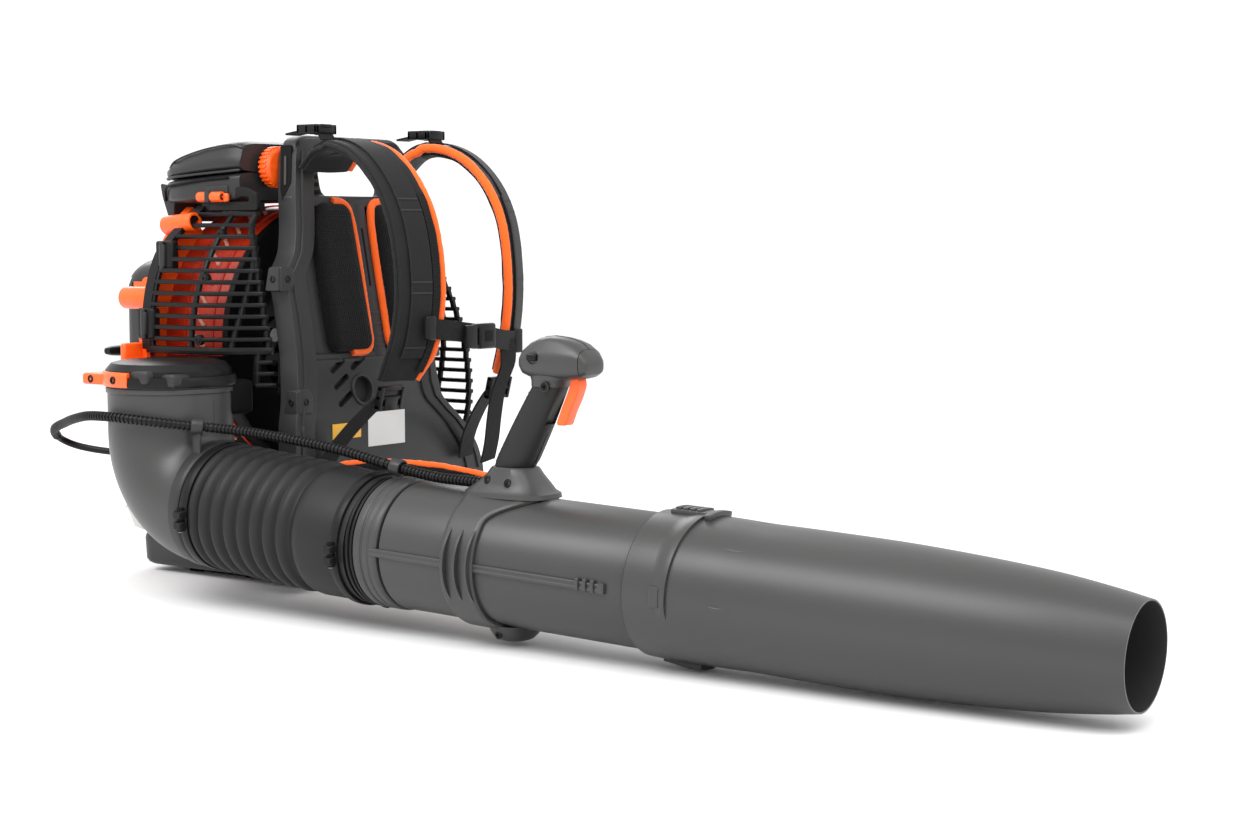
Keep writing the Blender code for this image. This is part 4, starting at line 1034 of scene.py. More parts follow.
def bars(name, lines, wide, thick, look, corner=0.0012):
    mesh = bpy.data.meshes.new(name)
    points, edges = [], []
    for line in lines:
        edges += [(len(points) + i, len(points) + i + 1) for i in range(len(line) - 1)]
        points += [Vector(p) for p in line]
    mesh.from_pydata(points, edges, [])
    return throughTree(newObject(name, mesh), trees["bars"],
                       {"Wide": wide, "Thick": thick, "Corner": corner, "Finish": look})


def arc(name, profile, centre, axis, u, v, first, last, look, steps=48, sharp=35):
    # a closed profile of (radius, distance along the axis) turned part of the way round, in degrees
    centre, axis, u, v = Vector(centre), Vector(axis), Vector(u), Vector(v)
    rings = []
    for k in range(steps + 1):
        a = math.radians(mix(first, last, k / steps))
        rings.append([centre + axis * p[1] + (u * math.cos(a) + v * math.sin(a)) * p[0] for p in profile])
    return loft(name, rings, look, sharp=sharp)


base = {"trayX": (-0.157, 0.0955), "trayY": 0.128, "trayZ": (0.008, 0.044), "tankX": (-0.203, 0.088),
        "tankY": 0.121,
        "tankTop": 0.103, "cap": (-0.165, 0.075)}


def rectangle(low, high):
    return [(low[0], low[1]), (high[0], low[1]), (high[0], high[1]), (low[0], high[1])]


def makeBase():
    lowX, highX = base["trayX"]
    y = base["trayY"]
    z0, z1 = base["trayZ"]
    rings = []
    for z, inset in ((z0, 0.006), (z0 + 0.002, 0.003), (z0 + 0.006, 0.001), (z1 - 0.006, 0.0),
                     (z1 - 0.002, 0.0008),
                     (z1, 0.003)):
        ring = rounded(rectangle((lowX + inset, -y + inset), (highX, y - inset)), 0.020, 8)
        rings.append([Vector((p.x, p.y, z)) for p in ring])
    tray = loft("tray_body", rings, looks["frame"], sharp=30)
    ribs = bars("tray_ribs", [((x, -y + 0.002, z0 + 0.004), (x, -y + 0.002, z1 - 0.008)) for x in
                              (-0.02, 0.0, 0.02, 0.04)], 0.004, 0.004, looks["frame"])
    piece = merged("base_body", [tray, ribs], 30)
    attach(piece, "root")
    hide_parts("base_tray")

    low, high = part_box("base_foot")
    pads = []
    for x0, x1 in ((low[0], low[0] + 0.022), (-0.016, 0.016), (high[0] - 0.022, high[0])):
        pads.append(block("pad", (x0, low[1], 0.0), (x1, high[1], high[2]), looks["matte"], 0.002))
    pads.append(block("rail", (low[0] + 0.01, low[1], 0.001), (high[0] - 0.01, low[1] + 0.03, high[2]),
                      looks["matte"], 0.002))
    pads.append(block("rail", (low[0] + 0.01, high[1] - 0.03, 0.001), (high[0] - 0.01, high[1], high[2]),
                      looks["matte"], 0.002))
    foot = merged("foot_pads", pads)
    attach(foot, "root")
    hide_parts("base_foot")

    x0, x1 = base["tankX"]
    y = base["tankY"]
    top = base["tankTop"]
    rings = []
    for z, inset, back in ((z1 + 0.0006, 0.006, 0.018), (z1 + 0.004, 0.001, 0.016), (0.070, 0.0, 0.006),
                           (top - 0.012, 0.0, 0.0), (top - 0.004, 0.003, 0.002), (top, 0.010, 0.008)):
        ring = rounded(rectangle((x0 + inset + back, -y + inset), (x1 - inset, y - inset)), 0.024, 8)
        rings.append([Vector((p.x, p.y, z)) for p in ring])
    body = loft("tank_body", rings, looks["tank"], sharp=40)
    seam = [cord("seam", [Vector((p.x, p.y, 0.070)) for p in
                          rounded(rectangle((x0 + 0.0045, -y - 0.0006), (x1 + 0.0006, y + 0.0006)), 0.024,
                                  6)],
                 0.0011, looks["tank"], 8)]
    cx, cy = base["cap"]
    neck = lathe("neck", [(0, 0), (0.019, 0), (0.019, 0.004), (0.0175, 0.006), (0.0175, 0.010), (0, 0.010)],
                 (cx, cy, top - 0.0035), up, looks["tank"], 48)
    piece = merged("tank_shell", [body, *seam, neck], 40)
    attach(piece, "root")
    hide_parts("fuel_tank")

    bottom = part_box("fuel_cap")[0][2]
    cap = lathe("cap", [(0, 0.0004)] + [(p[0], p[1]) for p in rounded(
        [(0.0215, 0.0004), (0.0215, 0.013), (0.0185, 0.0165), (0.012, 0.0172), (0.0105, 0.0150)], 0.002, 4,
        closed=False)] + [(0, 0.0150)], (cx, cy, bottom), up, looks["black"], 72)
    ribs = spread("ribs", [((cx + 0.0215 * math.cos(a), cy + 0.0215 * math.sin(a), bottom + 0.0066),
                            (math.cos(a), math.sin(a), 0), (0, 0, 1)) for a in
                           [math.tau * k / 30 for k in range(30)]],
                  block("rib", (-0.0060, -0.0009, -0.0010), (0.0060, 0.0009, 0.0012), looks["black"], 0.0004,
                        2),
                  looks["black"])
    bar = block("bar", (cx - 0.014, cy - 0.0026, bottom + 0.0140), (cx + 0.014, cy + 0.0026, bottom + 0.0172),
                looks["black"], 0.001)
    piece = merged("cap_body", [cap, ribs, bar])
    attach(piece, "fuel_cap")
    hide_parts("fuel_cap")


carrier = {
    "front": 0.122, "thick": 0.026, "knee": 0.180, "lean": 0.190, "wide": 0.030,
    "right": ((-0.150, 0.012), (-0.158, 0.060), (-0.157, 0.180), (-0.147, 0.210), (-0.139, 0.255),
              (-0.137, 0.300),
              (-0.137, 0.345), (-0.118, 0.368), (-0.110, 0.395), (-0.104, 0.430), (-0.092, 0.480),
              (-0.076, 0.494)),
    "left": ((0.160, 0.012), (0.163, 0.112), (0.152, 0.140), (0.124, 0.172), (0.090, 0.202), (0.088, 0.240),
             (0.099, 0.300), (0.106, 0.360), (0.107, 0.400), (0.104, 0.430), (0.092, 0.480), (0.076, 0.494)),
    "hole": (-0.041, 0.216, 0.0145),
    "slots": ((-0.075, 0.244), (-0.042, 0.246), (-0.073, 0.226), (-0.070, 0.207)),
}


def leant(p):
    return Vector((p.x - carrier["lean"] * max(0.0, p.z - carrier["knee"]), p.y, p.z))


def leanBack(obj):
    # cut across so that the bend has edges to turn on, then lean
    bm = bmesh.new()
    bm.from_mesh(obj.data)
    for z in (0.160, 0.170, 0.176, 0.180, 0.184, 0.190, 0.200):
        everything = bm.verts[:] + bm.edges[:] + bm.faces[:]
        bmesh.ops.bisect_plane(bm, geom=everything, plane_co=(0, 0, z), plane_no=(0, 0, 1))
    for v in bm.verts:
        # the bend is spread over a short height so that it reads as a moulded curve
        t = (v.co.z - carrier["knee"] + 0.02) / 0.04
        drop = v.co.z - carrier["knee"] if t > 1 else (0.0 if t < 0 else 0.02 * t * t)
        v.co.x -= carrier["lean"] * drop
    bm.to_mesh(obj.data)
    bm.free()
    return obj


def inward(points, wide):
    # the same line moved towards the middle of the back
    out = []
    for y, z in points:
        out.append((y - math.copysign(wide, y), z))
    return out


def makeCarrier():
    front = carrier["front"]
    rear = front - carrier["thick"]
    outer = list(carrier["right"]) + list(reversed(carrier["left"]))
    # the web between the posts
    trimmed = [(y * 0.965, min(z, 0.490)) for y, z in outer]
    web = plate("web", rounded(trimmed, 0.010, 4), rear + 0.004, front - 0.010, "X", looks["frame"], 0.0015,
                2)
    cutters = [plate("gap", rounded(rectangle((-0.052, 0.430), (0.052, 0.470)), 0.012, 5), 0, 0.3, "X",
                     looks["frame"], 0)]
    web = carved(web, cutters)
    pieces = [web]
    for side, line in ((-1, carrier["right"]), (1, carrier["left"])):
        low = [p for p in line if p[1] <= 0.494]
        inner = inward(low, carrier["wide"])
        outline = list(low) + list(reversed([(y, z) for y, z in inner]))
        post = plate("post", rounded(outline, 0.010, 5), rear, front, "X", looks["frame"], 0.0050, 5, 50)
        pieces.append(post)
        # a raised rib runs up the post's front
        spine = [Vector((front - 0.0002, y - side * 0.0105, z)) for y, z in low[1:-1]]
        pieces.append(strip("rib", smoothRoute(spine, 0.02),
                            [(-0.0022, -0.002), (0.0022, -0.002), (0.0014, 0.0022),
                                                              (-0.0014,
                                                               0.0022)], looks["frame"], side=across))
    top = plate("top", rounded([(-0.092, 0.472), (0.092, 0.472), (0.088, 0.490), (0.074, 0.4975),
                                (-0.074, 0.4975),
                                (-0.088,
                                 0.490)], 0.010, 6), rear + 0.001, front - 0.001, "X", looks["frame"], 0.006,
                5, 50)
    pieces.append(top)
    for z0, z1 in ((0.418, 0.431), (0.246, 0.258)):
        pieces.append(block("cross", (rear + 0.002, -0.105, z0), (front - 0.004, 0.105, z1), looks["frame"],
                            0.003))
    # lower panel with its intake hole and slanted slots
    low = [(-0.146, 0.016), (-0.153, 0.060), (-0.152, 0.180), (-0.120, 0.252), (0.070, 0.252), (0.076, 0.210),
           (0.112, 0.172), (0.148, 0.134), (0.156, 0.110), (0.154, 0.016)]
    panel = plate("panel", rounded(low, 0.012, 5), front - 0.012, front - 0.0022, "X", looks["frame"], 0.003,
                  3)
    y, z, r = carrier["hole"]
    cutters = [rod("hole", (0, y, z), (0.3, y, z), r, looks["matte"], 40)]
    for sy, sz in carrier["slots"]:
        a = math.radians(28)
        ends = [Vector((0, sy + s * 0.0105 * math.cos(a), sz + s * 0.0105 * math.sin(a))) for s in (-1, 1)]
        ring = []
        for x in (0.0, 0.3):
            loop = []
            for k in range(24):
                t = math.tau * k / 24
                centre = ends[1] if math.cos(t) > 0 else ends[0]
                u, w = Vector((0, math.cos(a), math.sin(a))), Vector((0, -math.sin(a), math.cos(a)))
                loop.append(centre + u * math.cos(t) * 0.0036 + w * math.sin(t) * 0.0036 + Vector((x, 0, 0)))
            ring.append(loop)
        cutters.append(loft("slot", ring, looks["matte"]))
    panel = carved(panel, cutters)
    lip = lathe("lip", rounded([(r, -0.001), (r + 0.003, -0.001), (r + 0.003, 0.0022), (r, 0.0022)], 0.0009,
                               3),
                (front - 0.0024, y, z), (1, 0, 0), looks["frame"], 48)
    backing = block("backing", (front - 0.0190, -0.100, 0.190), (front - 0.0165, 0.030, 0.262),
                    looks["matte"], 0.001)
    pieces += [panel, lip, backing]
    # centre spine between the pads; its slot is a thin matte black strip on the face, the dark being painted shade
    pieces.append(block("spine", (front - 0.013, -0.0115, 0.246), (front - 0.0035, 0.0115, 0.424),
                        looks["deep"],
                        0.003))
    pieces.append(block("spine_slot", (front - 0.0042, -0.0016, 0.330), (front - 0.0030, 0.0016, 0.395),
                        looks["matte"], 0.0005))
    for k in range(4):
        z = 0.262 + 0.012 * k
        pieces.append(block("spine_bar", (front - 0.0045, -0.009, z), (front - 0.0028, 0.009, z + 0.004),
                            looks["deep"], 0.0008))
    # louvres high on the web beside the near post
    pieces.append(bars("louvres", [((front - 0.0095, -0.078 + 0.003 * k, 0.452 - 0.0085 * k),
                                    (front - 0.0095, -0.056, 0.452 - 0.0085 * k)) for k in range(4)],
                       0.004, 0.0045, looks["matte"]))
    frameBody = merged("carrier", pieces, 40)
    leanBack(frameBody)

    extra = []
    spots = []
    # screw plates on the posts
    for y, z, x in ((-0.1400, 0.340, front), (-0.1400, 0.208, front), (0.096, 0.300, front)):
        side = -1 if y < 0 else 1
        spot = leant(Vector((x, y, z)))
        loop = [(-0.012, -0.014), (0.012, -0.014), (0.012, 0.008), (0.006, 0.014), (-0.012, 0.014)]
        pad = plate("pad", rounded([(y + side * -0.002 + a * 0.9, z + b) for a, b in loop], 0.003, 4),
                    spot.x - 0.012, spot.x + 0.0030, "X", looks["frame"], 0.0018, 3)
        extra.append(pad)
        spots.append(((spot.x + 0.0034, y - side * 0.002, z), (1, 0, 0), (0, 0, 1)))
        spots.append(((spot.x - 0.006, y + side * 0.0125, z), (0, side, 0), (0, 0, 1)))
        extra.append(plate("side_pad", rounded([(spot.x - 0.018, z - 0.013), (spot.x + 0.002, z - 0.013),
                                                (spot.x + 0.002, z + 0.013),
                                                (spot.x - 0.012, z + 0.013)], 0.003, 4),
                           *sorted((y + side * 0.004, y + side * 0.0120)), "Y", looks["frame"], 0.0015, 3))
    extra.append(spread("screws", spots, screwShape(0.0040), looks["black"]))
    # a moulded recess with a bright slot near the top of each post's outer side; the recess is a flat matte black
    # sheet whose dark is painted shade
    for side in (-1, 1):
        for z0, z1, x0, x1, y, look, deep in ((0.425, 0.486, -0.003, 0.013, 0.1035, "matte", 0.0),
                                              (0.442, 0.474, 0.0035, 0.0065, 0.1045, "shell", 0.0012)):
            loop = [(x0, z0 + 0.012), (x0 + 0.003, z0), (x1, z0 + 0.020), (x1, z1),
                    (x0, z1)] if look == "matte" else \
                rectangle((x0, z0), (x1, z1))
            flat = plate("mark", rounded([(front - 0.019 + a, b) for a, b in loop], 0.0015, 3), 0, 0.0012,
                         "Y",
                         looks[look], 0)
            for v in flat.data.vertices:
                along_ = (v.co.z - 0.430) / 0.050
                v.co.y = side * (mix(0.1040, 0.0925, along_) + v.co.y * 0.8 + deep - 0.0004)
            extra.append(leanBack(flat))
    # two blank labels on the lower panel
    for name, y0, y1, z0, z1, look in (("label_amber", -0.098, -0.052, 0.164, 0.181, "amber"),
                                       ("label_white", -0.040, 0.022, 0.152, 0.190, "label")):
        extra.append(block(name, (front - 0.0024, y0, z0), (front - 0.0016, y1, z1), looks[look], 0.0003, 2))
    trim = merged("carrier_trim", extra, 40)
    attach(frameBody, "root")
    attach(trim, "root")
    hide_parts("back_frame")


looks["amber"] = finish("label_amber", (0.800, 0.420, 0.030), 0.40, grain=400, depth=0.02, mottle=0.02)
looks["label"] = finish("label_white", (0.640, 0.640, 0.630), 0.38, grain=400, depth=0.02, mottle=0.02)


fan = {"z": 0.270, "back": -0.098, "front": 0.012, "drum": 0.150, "eye": 0.092, "vanes": 40, "bright": 0.245,
       "bosses": (((-0.128, -0.166, 0.317), (-0.086, -0.166, 0.317), 0.0125),
                  ((-0.086, -0.143, 0.398), (-0.040, -0.143, 0.402), 0.0105),
                  ((-0.1150, 0.150, 0.350), (-0.086, 0.150, 0.350), 0.0110),
                  ((-0.1150, 0.120, 0.180), (-0.086, 0.120, 0.180), 0.0110))}


def makeHousing():
    z, back = fan["z"], fan["back"]
    length = fan["front"] - back
    drum, eye = fan["drum"], fan["eye"]
    shape = [(0.016, 0.0), (0.124, 0.0), (0.146, 0.005), (0.150, 0.010), (0.150, length - 0.006),
             (0.147, length - 0.001), (0.140, length), (eye, length), (eye, length - 0.004),
             (0.138, length - 0.006),
             (0.1450, length - 0.014), (0.1450, 0.024), (0.120, 0.005), (0.016, 0.005)]
    shroud = lathe("shroud", shape, (back, 0, z), (1, 0, 0), looks["shaded_orange"], 144)
    shroud.data.materials.append(looks["black"])
    for face in shroud.data.polygons:
        # the shroud's orange plastic, darkened to red as painted shade, only where it shows behind the grilles;
        # black elsewhere
        if face.normal.x > 0.5 or face.center.z < fan["bright"]:
            face.material_index = 1
    pieces = [shroud]
    ledge = [(0.140, 0.009), (0.1835, 0.009), (0.1862, 0.0115), (0.1862, 0.0225), (0.1820, 0.0240),
             (0.1790, 0.016),
             (0.140, 0.016)]
    # the rim stops above the tank and below the filter, and its two sides are open between
    for side in (-1, 1):
        pieces.append(arc("rim", ledge, (back, 0, z), (1, 0, 0), (0, side, 0), up, -58, 53, looks["orange"],
                          60))
    # slanted vanes behind the grille, in a pale tone that is a painted highlight where they catch the light
    vanes = []
    for k in range(fan["vanes"]):
        a = math.tau * k / fan["vanes"]
        if z + 0.152 * math.sin(a) < base["tankTop"] + 0.012 or z + 0.152 * math.sin(a) > 0.416:
            continue
        vanes.append(((back + 0.070, 0.1505 * math.cos(a), z + 0.1505 * math.sin(a)),
                      (0, math.cos(a), math.sin(a)), (1, -math.sin(a) * 0.9, math.cos(a) * 0.9)))
    shape = block("vane", (-0.0100, -0.0020, -0.001), (0.0100, 0.0020, 0.0030), looks["vane_highlight"], 0.0009, 2)
    pieces.append(spread("vanes", vanes, shape, looks["vane_highlight"]))
    # the hoops take the same darkened red, painted shade on orange plastic
    pieces += [lathe("hoop", rounded([(drum - 0.001, x), (drum + 0.0022, x), (drum + 0.0022, x + 0.003),
                                      (drum - 0.001, x + 0.003)], 0.0008, 2), (back, 0, z), (1, 0,
                                                                                             0), looks["shaded_orange"],
                     96) for x in (0.045, 0.088)]
    for start, end, radius in fan["bosses"]:
        start, end = Vector(start), Vector(end)
        way = (end - start).normalized()
        reach = (end - start).length
        profile = rounded([(radius - 0.003, 0.0), (radius, 0.0), (radius, reach), (0.001, reach),
                           (0.001, reach - 0.004),
                           (radius - 0.003, reach - 0.004)], 0.0008, 2)
        # the open end faces forward
        pieces.append(lathe("boss", [(p[0], p[1]) for p in profile], end, -way, looks["orange"], 40))
        side = math.copysign(1, start.y)
        pieces.append(block("web", (-0.0885, min(start.y, start.y - side * 0.030), start.z - 0.003),
                            (-0.0800, max(start.y, start.y - side * 0.030), start.z + 0.003),
                            looks["orange"], 0.001))
    # flange over the elbow, with its bosses
    x, top = elbow["x"], elbow["top"]
    flange = [(0.0610, 0.0006), (0.0700, 0.0006), (0.0712, 0.004), (0.0712, 0.013), (0.0690, 0.0160),
              (0.0610, 0.0160)]
    middle = (x, duct["y"], top)
    pieces.append(arc("flange", flange, middle, up, (1, 0, 0), across, 95, 278, looks["orange"], 60))
    skirt = [(0.0610, 0.0004), (0.0695, 0.0004), (0.0705, 0.003), (0.0690, 0.0110), (0.0610, 0.0110)]
    pieces.append(arc("skirt", skirt, middle, up, (1, 0, 0), across, -82, 95, looks["black"], 60))
    hood = []
    for zz, grow in ((top + 0.0100, 0.0), (top + 0.0170, 0.0), (top + 0.0240, -0.006),
                     (top + 0.0265, -0.016)):
        hood.append(oval((x - 0.002, duct["y"], zz), 0.0660 + grow, 0.0660 + grow, (1, 0, 0), across, 2.0,
                         72))
    pieces.append(loft("hood", hood, looks["black"], sharp=40))
    bridge = block("bridge", (-0.048, duct["y"] + 0.015, top + 0.002), (0.010, -0.120, top + 0.0262),
                   looks["black"],
                   0.004)
    pieces.append(bridge)
    ear = block("ear", (-0.060, -0.292, top + 0.0010), (-0.020, -0.262, top + 0.0130), looks["orange"], 0.003)
    pieces.append(ear)
    pieces.append(block("arm", (-0.094, -0.232, top + 0.0010), (-0.050, -0.190, top + 0.0125),
                        looks["orange"], 0.003))
    pieces.append(block("arm_rib", (-0.090, -0.212, top + 0.010), (-0.082, -0.165, top + 0.040),
                        looks["orange"],
                        0.003))
    spots = [((-0.046, -0.2925, top + 0.007), (0, -1, 0), (1, 0, 0)),
             ((0.004, -0.3065, top + 0.008), (0, -1, 0), (1, 0, 0)),
             ((-0.078, -0.2325, top + 0.007), (0, -1, 0), (1, 0, 0))]
    pieces.append(spread("screws", spots, screwShape(0.0042), looks["black"]))
    # grey latch blocks under the grille beside the elbow
    pieces.append(block("latch", (0.022, -0.300, top + 0.004), (0.048, -0.268, top + 0.018), looks["deep"],
                        0.003))
    pieces.append(block("latch", (0.052, -0.285, top + 0.001), (0.072, -0.258, top + 0.015), looks["deep"],
                        0.003))
    pieces.append(block("under", (0.004, -0.262, 0.196), (0.070, -0.165, top + 0.004), looks["matte"], 0.006))
    piece = merged("fan_case", pieces, 34)
    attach(piece, "root")
    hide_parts("fan_housing")


grille = {"r": 0.1900, "pitch": 0.01235, "wide": 0.0075, "thick": 0.0050, "back": -0.071, "post": 0.1440,
          "short": 0.062}


def skinOf(side, z, centre, r):
    return side * math.sqrt(max(0.0, r * r - (z - centre) ** 2))


def frontOf(z):
    # the slats end just behind the leaning post
    return carrier["front"] - carrier["thick"] - 0.004 - carrier["lean"] * max(0.0, z - carrier["knee"])


def makeGrille(name, side, centre, lowZ, highZ, node):
    r = grille["r"] - 0.0030
    back = grille["back"]
    rows = int((highZ - lowZ) / grille["pitch"])
    slats, posts = [], []

    def surface(x, z):
        # straight behind, then curving in to meet the leaning post
        skin, front = skinOf(1, z, centre, r), frontOf(z)
        inner = min(skin, grille["post"]) if side < 0 else skin
        return side * mix(skin, inner, ease((x - front + 0.062) / 0.062) ** 1.3)

    for k in range(rows + 1):
        z = lowZ + k * grille["pitch"]
        front = frontOf(z)
        start = back + 0.0025 + 0.030 * ease((z - 0.36) / 0.07)
        slats.append([(x, surface(x, z), z) for x in [mix(start, front, i / 14) for i in range(15)]])
        if k < rows:
            z2 = z + grille["pitch"]
            mid = 0.000 + 0.10 * (z - 0.30)
            for x in (start + 0.004, mid, frontOf(z2) - 0.003, *((mid + 0.046,) if z < highZ - 0.05 else ())):
                if x < frontOf(z2):
                    posts.append([(x, surface(x, z), z), (x, surface(x, z2), z2)])
    pieces = [bars("slats", slats, grille["wide"], grille["thick"], looks["black"], 0.0016),
              bars("posts", posts, 0.0062, 0.0052, looks["black"], 0.0014)]
    # rear strap and the solid top and bottom rails
    line = []
    steps = 18
    for k in range(steps + 1):
        z = mix(lowZ, highZ, k / steps)
        line.append(Vector((back + 0.030 * ease((z - 0.36) / 0.07), skinOf(side, z, centre, r + 0.0005), z)))
    pieces.append(strip("strap", line, [(-0.0065, -0.003), (0.0065, -0.003), (0.0065, 0.003),
                                        (-0.0065, 0.003)],
                        looks["black"], side=(1, 0, 0)))
    for z, tall in ((highZ, 0.0100), (lowZ, 0.0080)):
        start = back + 0.030 * ease((z - 0.36) / 0.07)
        rail = [(x, surface(x, z), z) for x in [mix(start, frontOf(z), i / 14) for i in range(15)]]
        pieces.append(bars("rail", [rail], 0.0070, tall, looks["black"], 0.0014))
    if side < 0:
        # short rows that carry on below, in front of the duct
        for k in (1, 2, 3):
            z = lowZ - k * grille["pitch"]
            slats = [[(x, surface(x, z), z) for x in [mix(grille["short"], frontOf(z),
                                                          i / 6) for i in range(7)]],
                     [(grille["short"], surface(grille["short"], z), z),
                      (grille["short"], surface(grille["short"], z + grille["pitch"]), z + grille["pitch"])]]
            pieces.append(bars("short", slats, grille["wide"], grille["thick"], looks["black"], 0.0016))
        # top shield that reaches back to the frame, and the spring clips on the rear edge
        loop = [(back + 0.045, 0.418), (back + 0.062, 0.436), (back + 0.090, 0.440), (0.030, 0.4400),
                (0.046, 0.432),
                (0.0460, 0.414), (-0.030, 0.414)]
        shield = plate("shield", rounded(loop, 0.004, 4), -0.134, -0.129, "Y", looks["black"], 0.0012, 2)
        slot = plate("slot", rounded(rectangle((-0.004, 0.4235), (0.034, 0.4295)), 0.003, 4), -0.2, -0.1, "Y",
                     looks["black"], 0)
        pieces.append(carved(shield, [slot]))
        for x, z, turn in ((-0.060, 0.364, 0), (-0.070, 0.290, 0)):
            y = skinOf(side, z, centre, r) - 0.002
            pieces.append(block("clip", (x - 0.013, y - 0.004, z - 0.017), (x + 0.013, y + 0.008, z + 0.017),
                                looks["black"], 0.003))
            pieces.append(block("clip_bar", (x - 0.004, y - 0.008, z - 0.013),
                                (x + 0.004, y + 0.000, z + 0.013),
                                looks["deep"], 0.0022))
            pieces.append(rod("clip_pin", (x, y - 0.006, z - 0.016), (x, y - 0.006, z + 0.016), 0.0028,
                              looks["deep"],
                              18))
    spots = [((0.010, surface(0.010, z) + side * 0.004, z), (0, side, 0), (1, 0, 0))
             for z in (lowZ + 0.012, (lowZ + highZ) / 2, highZ - 0.03)]
    pieces.append(spread("screws", spots, screwShape(0.0036), looks["black"]))
    pieces += [rod("eyelet", (p[0], p[1] - side * 0.006, p[2]), (p[0], p[1] - side * 0.0006, p[2]), 0.0058,
                   looks["black"], 24) for p, _, _ in spots]
    piece = merged(name, pieces, 40)
    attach(piece, "root")
    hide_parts(node)


filterBox = {
    # place along X, lowest and highest Z of the lid, nearest and furthest Y
    "lid": ((-0.1215, 0.4500, 0.4560, -0.100, -0.045), (-0.1185, 0.4486, 0.4615, -0.108, -0.034),
            (-0.1080, 0.4490, 0.4680, -0.120, -0.022), (-0.0900, 0.4502, 0.4742, -0.131, -0.016),
            (-0.0650, 0.4515, 0.4810, -0.135, -0.015), (-0.0350, 0.4535, 0.4872, -0.1355, -0.015),
            (-0.0050, 0.4552, 0.4908, -0.1355, -0.015), (0.0110, 0.4562, 0.4908, -0.1350, -0.015),
            (0.0180, 0.4568, 0.4880, -0.1320, -0.018)),
    "base": ((-0.1225, 0.4380, 0.4465, -0.098, -0.048), (-0.1190, 0.4300, 0.4478, -0.108, -0.034),
             (-0.1080, 0.4230, 0.4484, -0.120, -0.022), (-0.0900, 0.4230, 0.4496, -0.131, -0.016),
             (-0.0650, 0.4230, 0.4509, -0.1350, -0.015), (-0.0350, 0.4230, 0.4529, -0.1355, -0.015),
             (-0.0050, 0.4232, 0.4546, -0.1355, -0.015), (0.0110, 0.4240, 0.4556, -0.1350, -0.015),
             (0.0180, 0.4260, 0.4560, -0.1320, -0.018)),
    "knob": (0.0240, -0.088, 0.4620, 0.023), "teeth": 26,
}


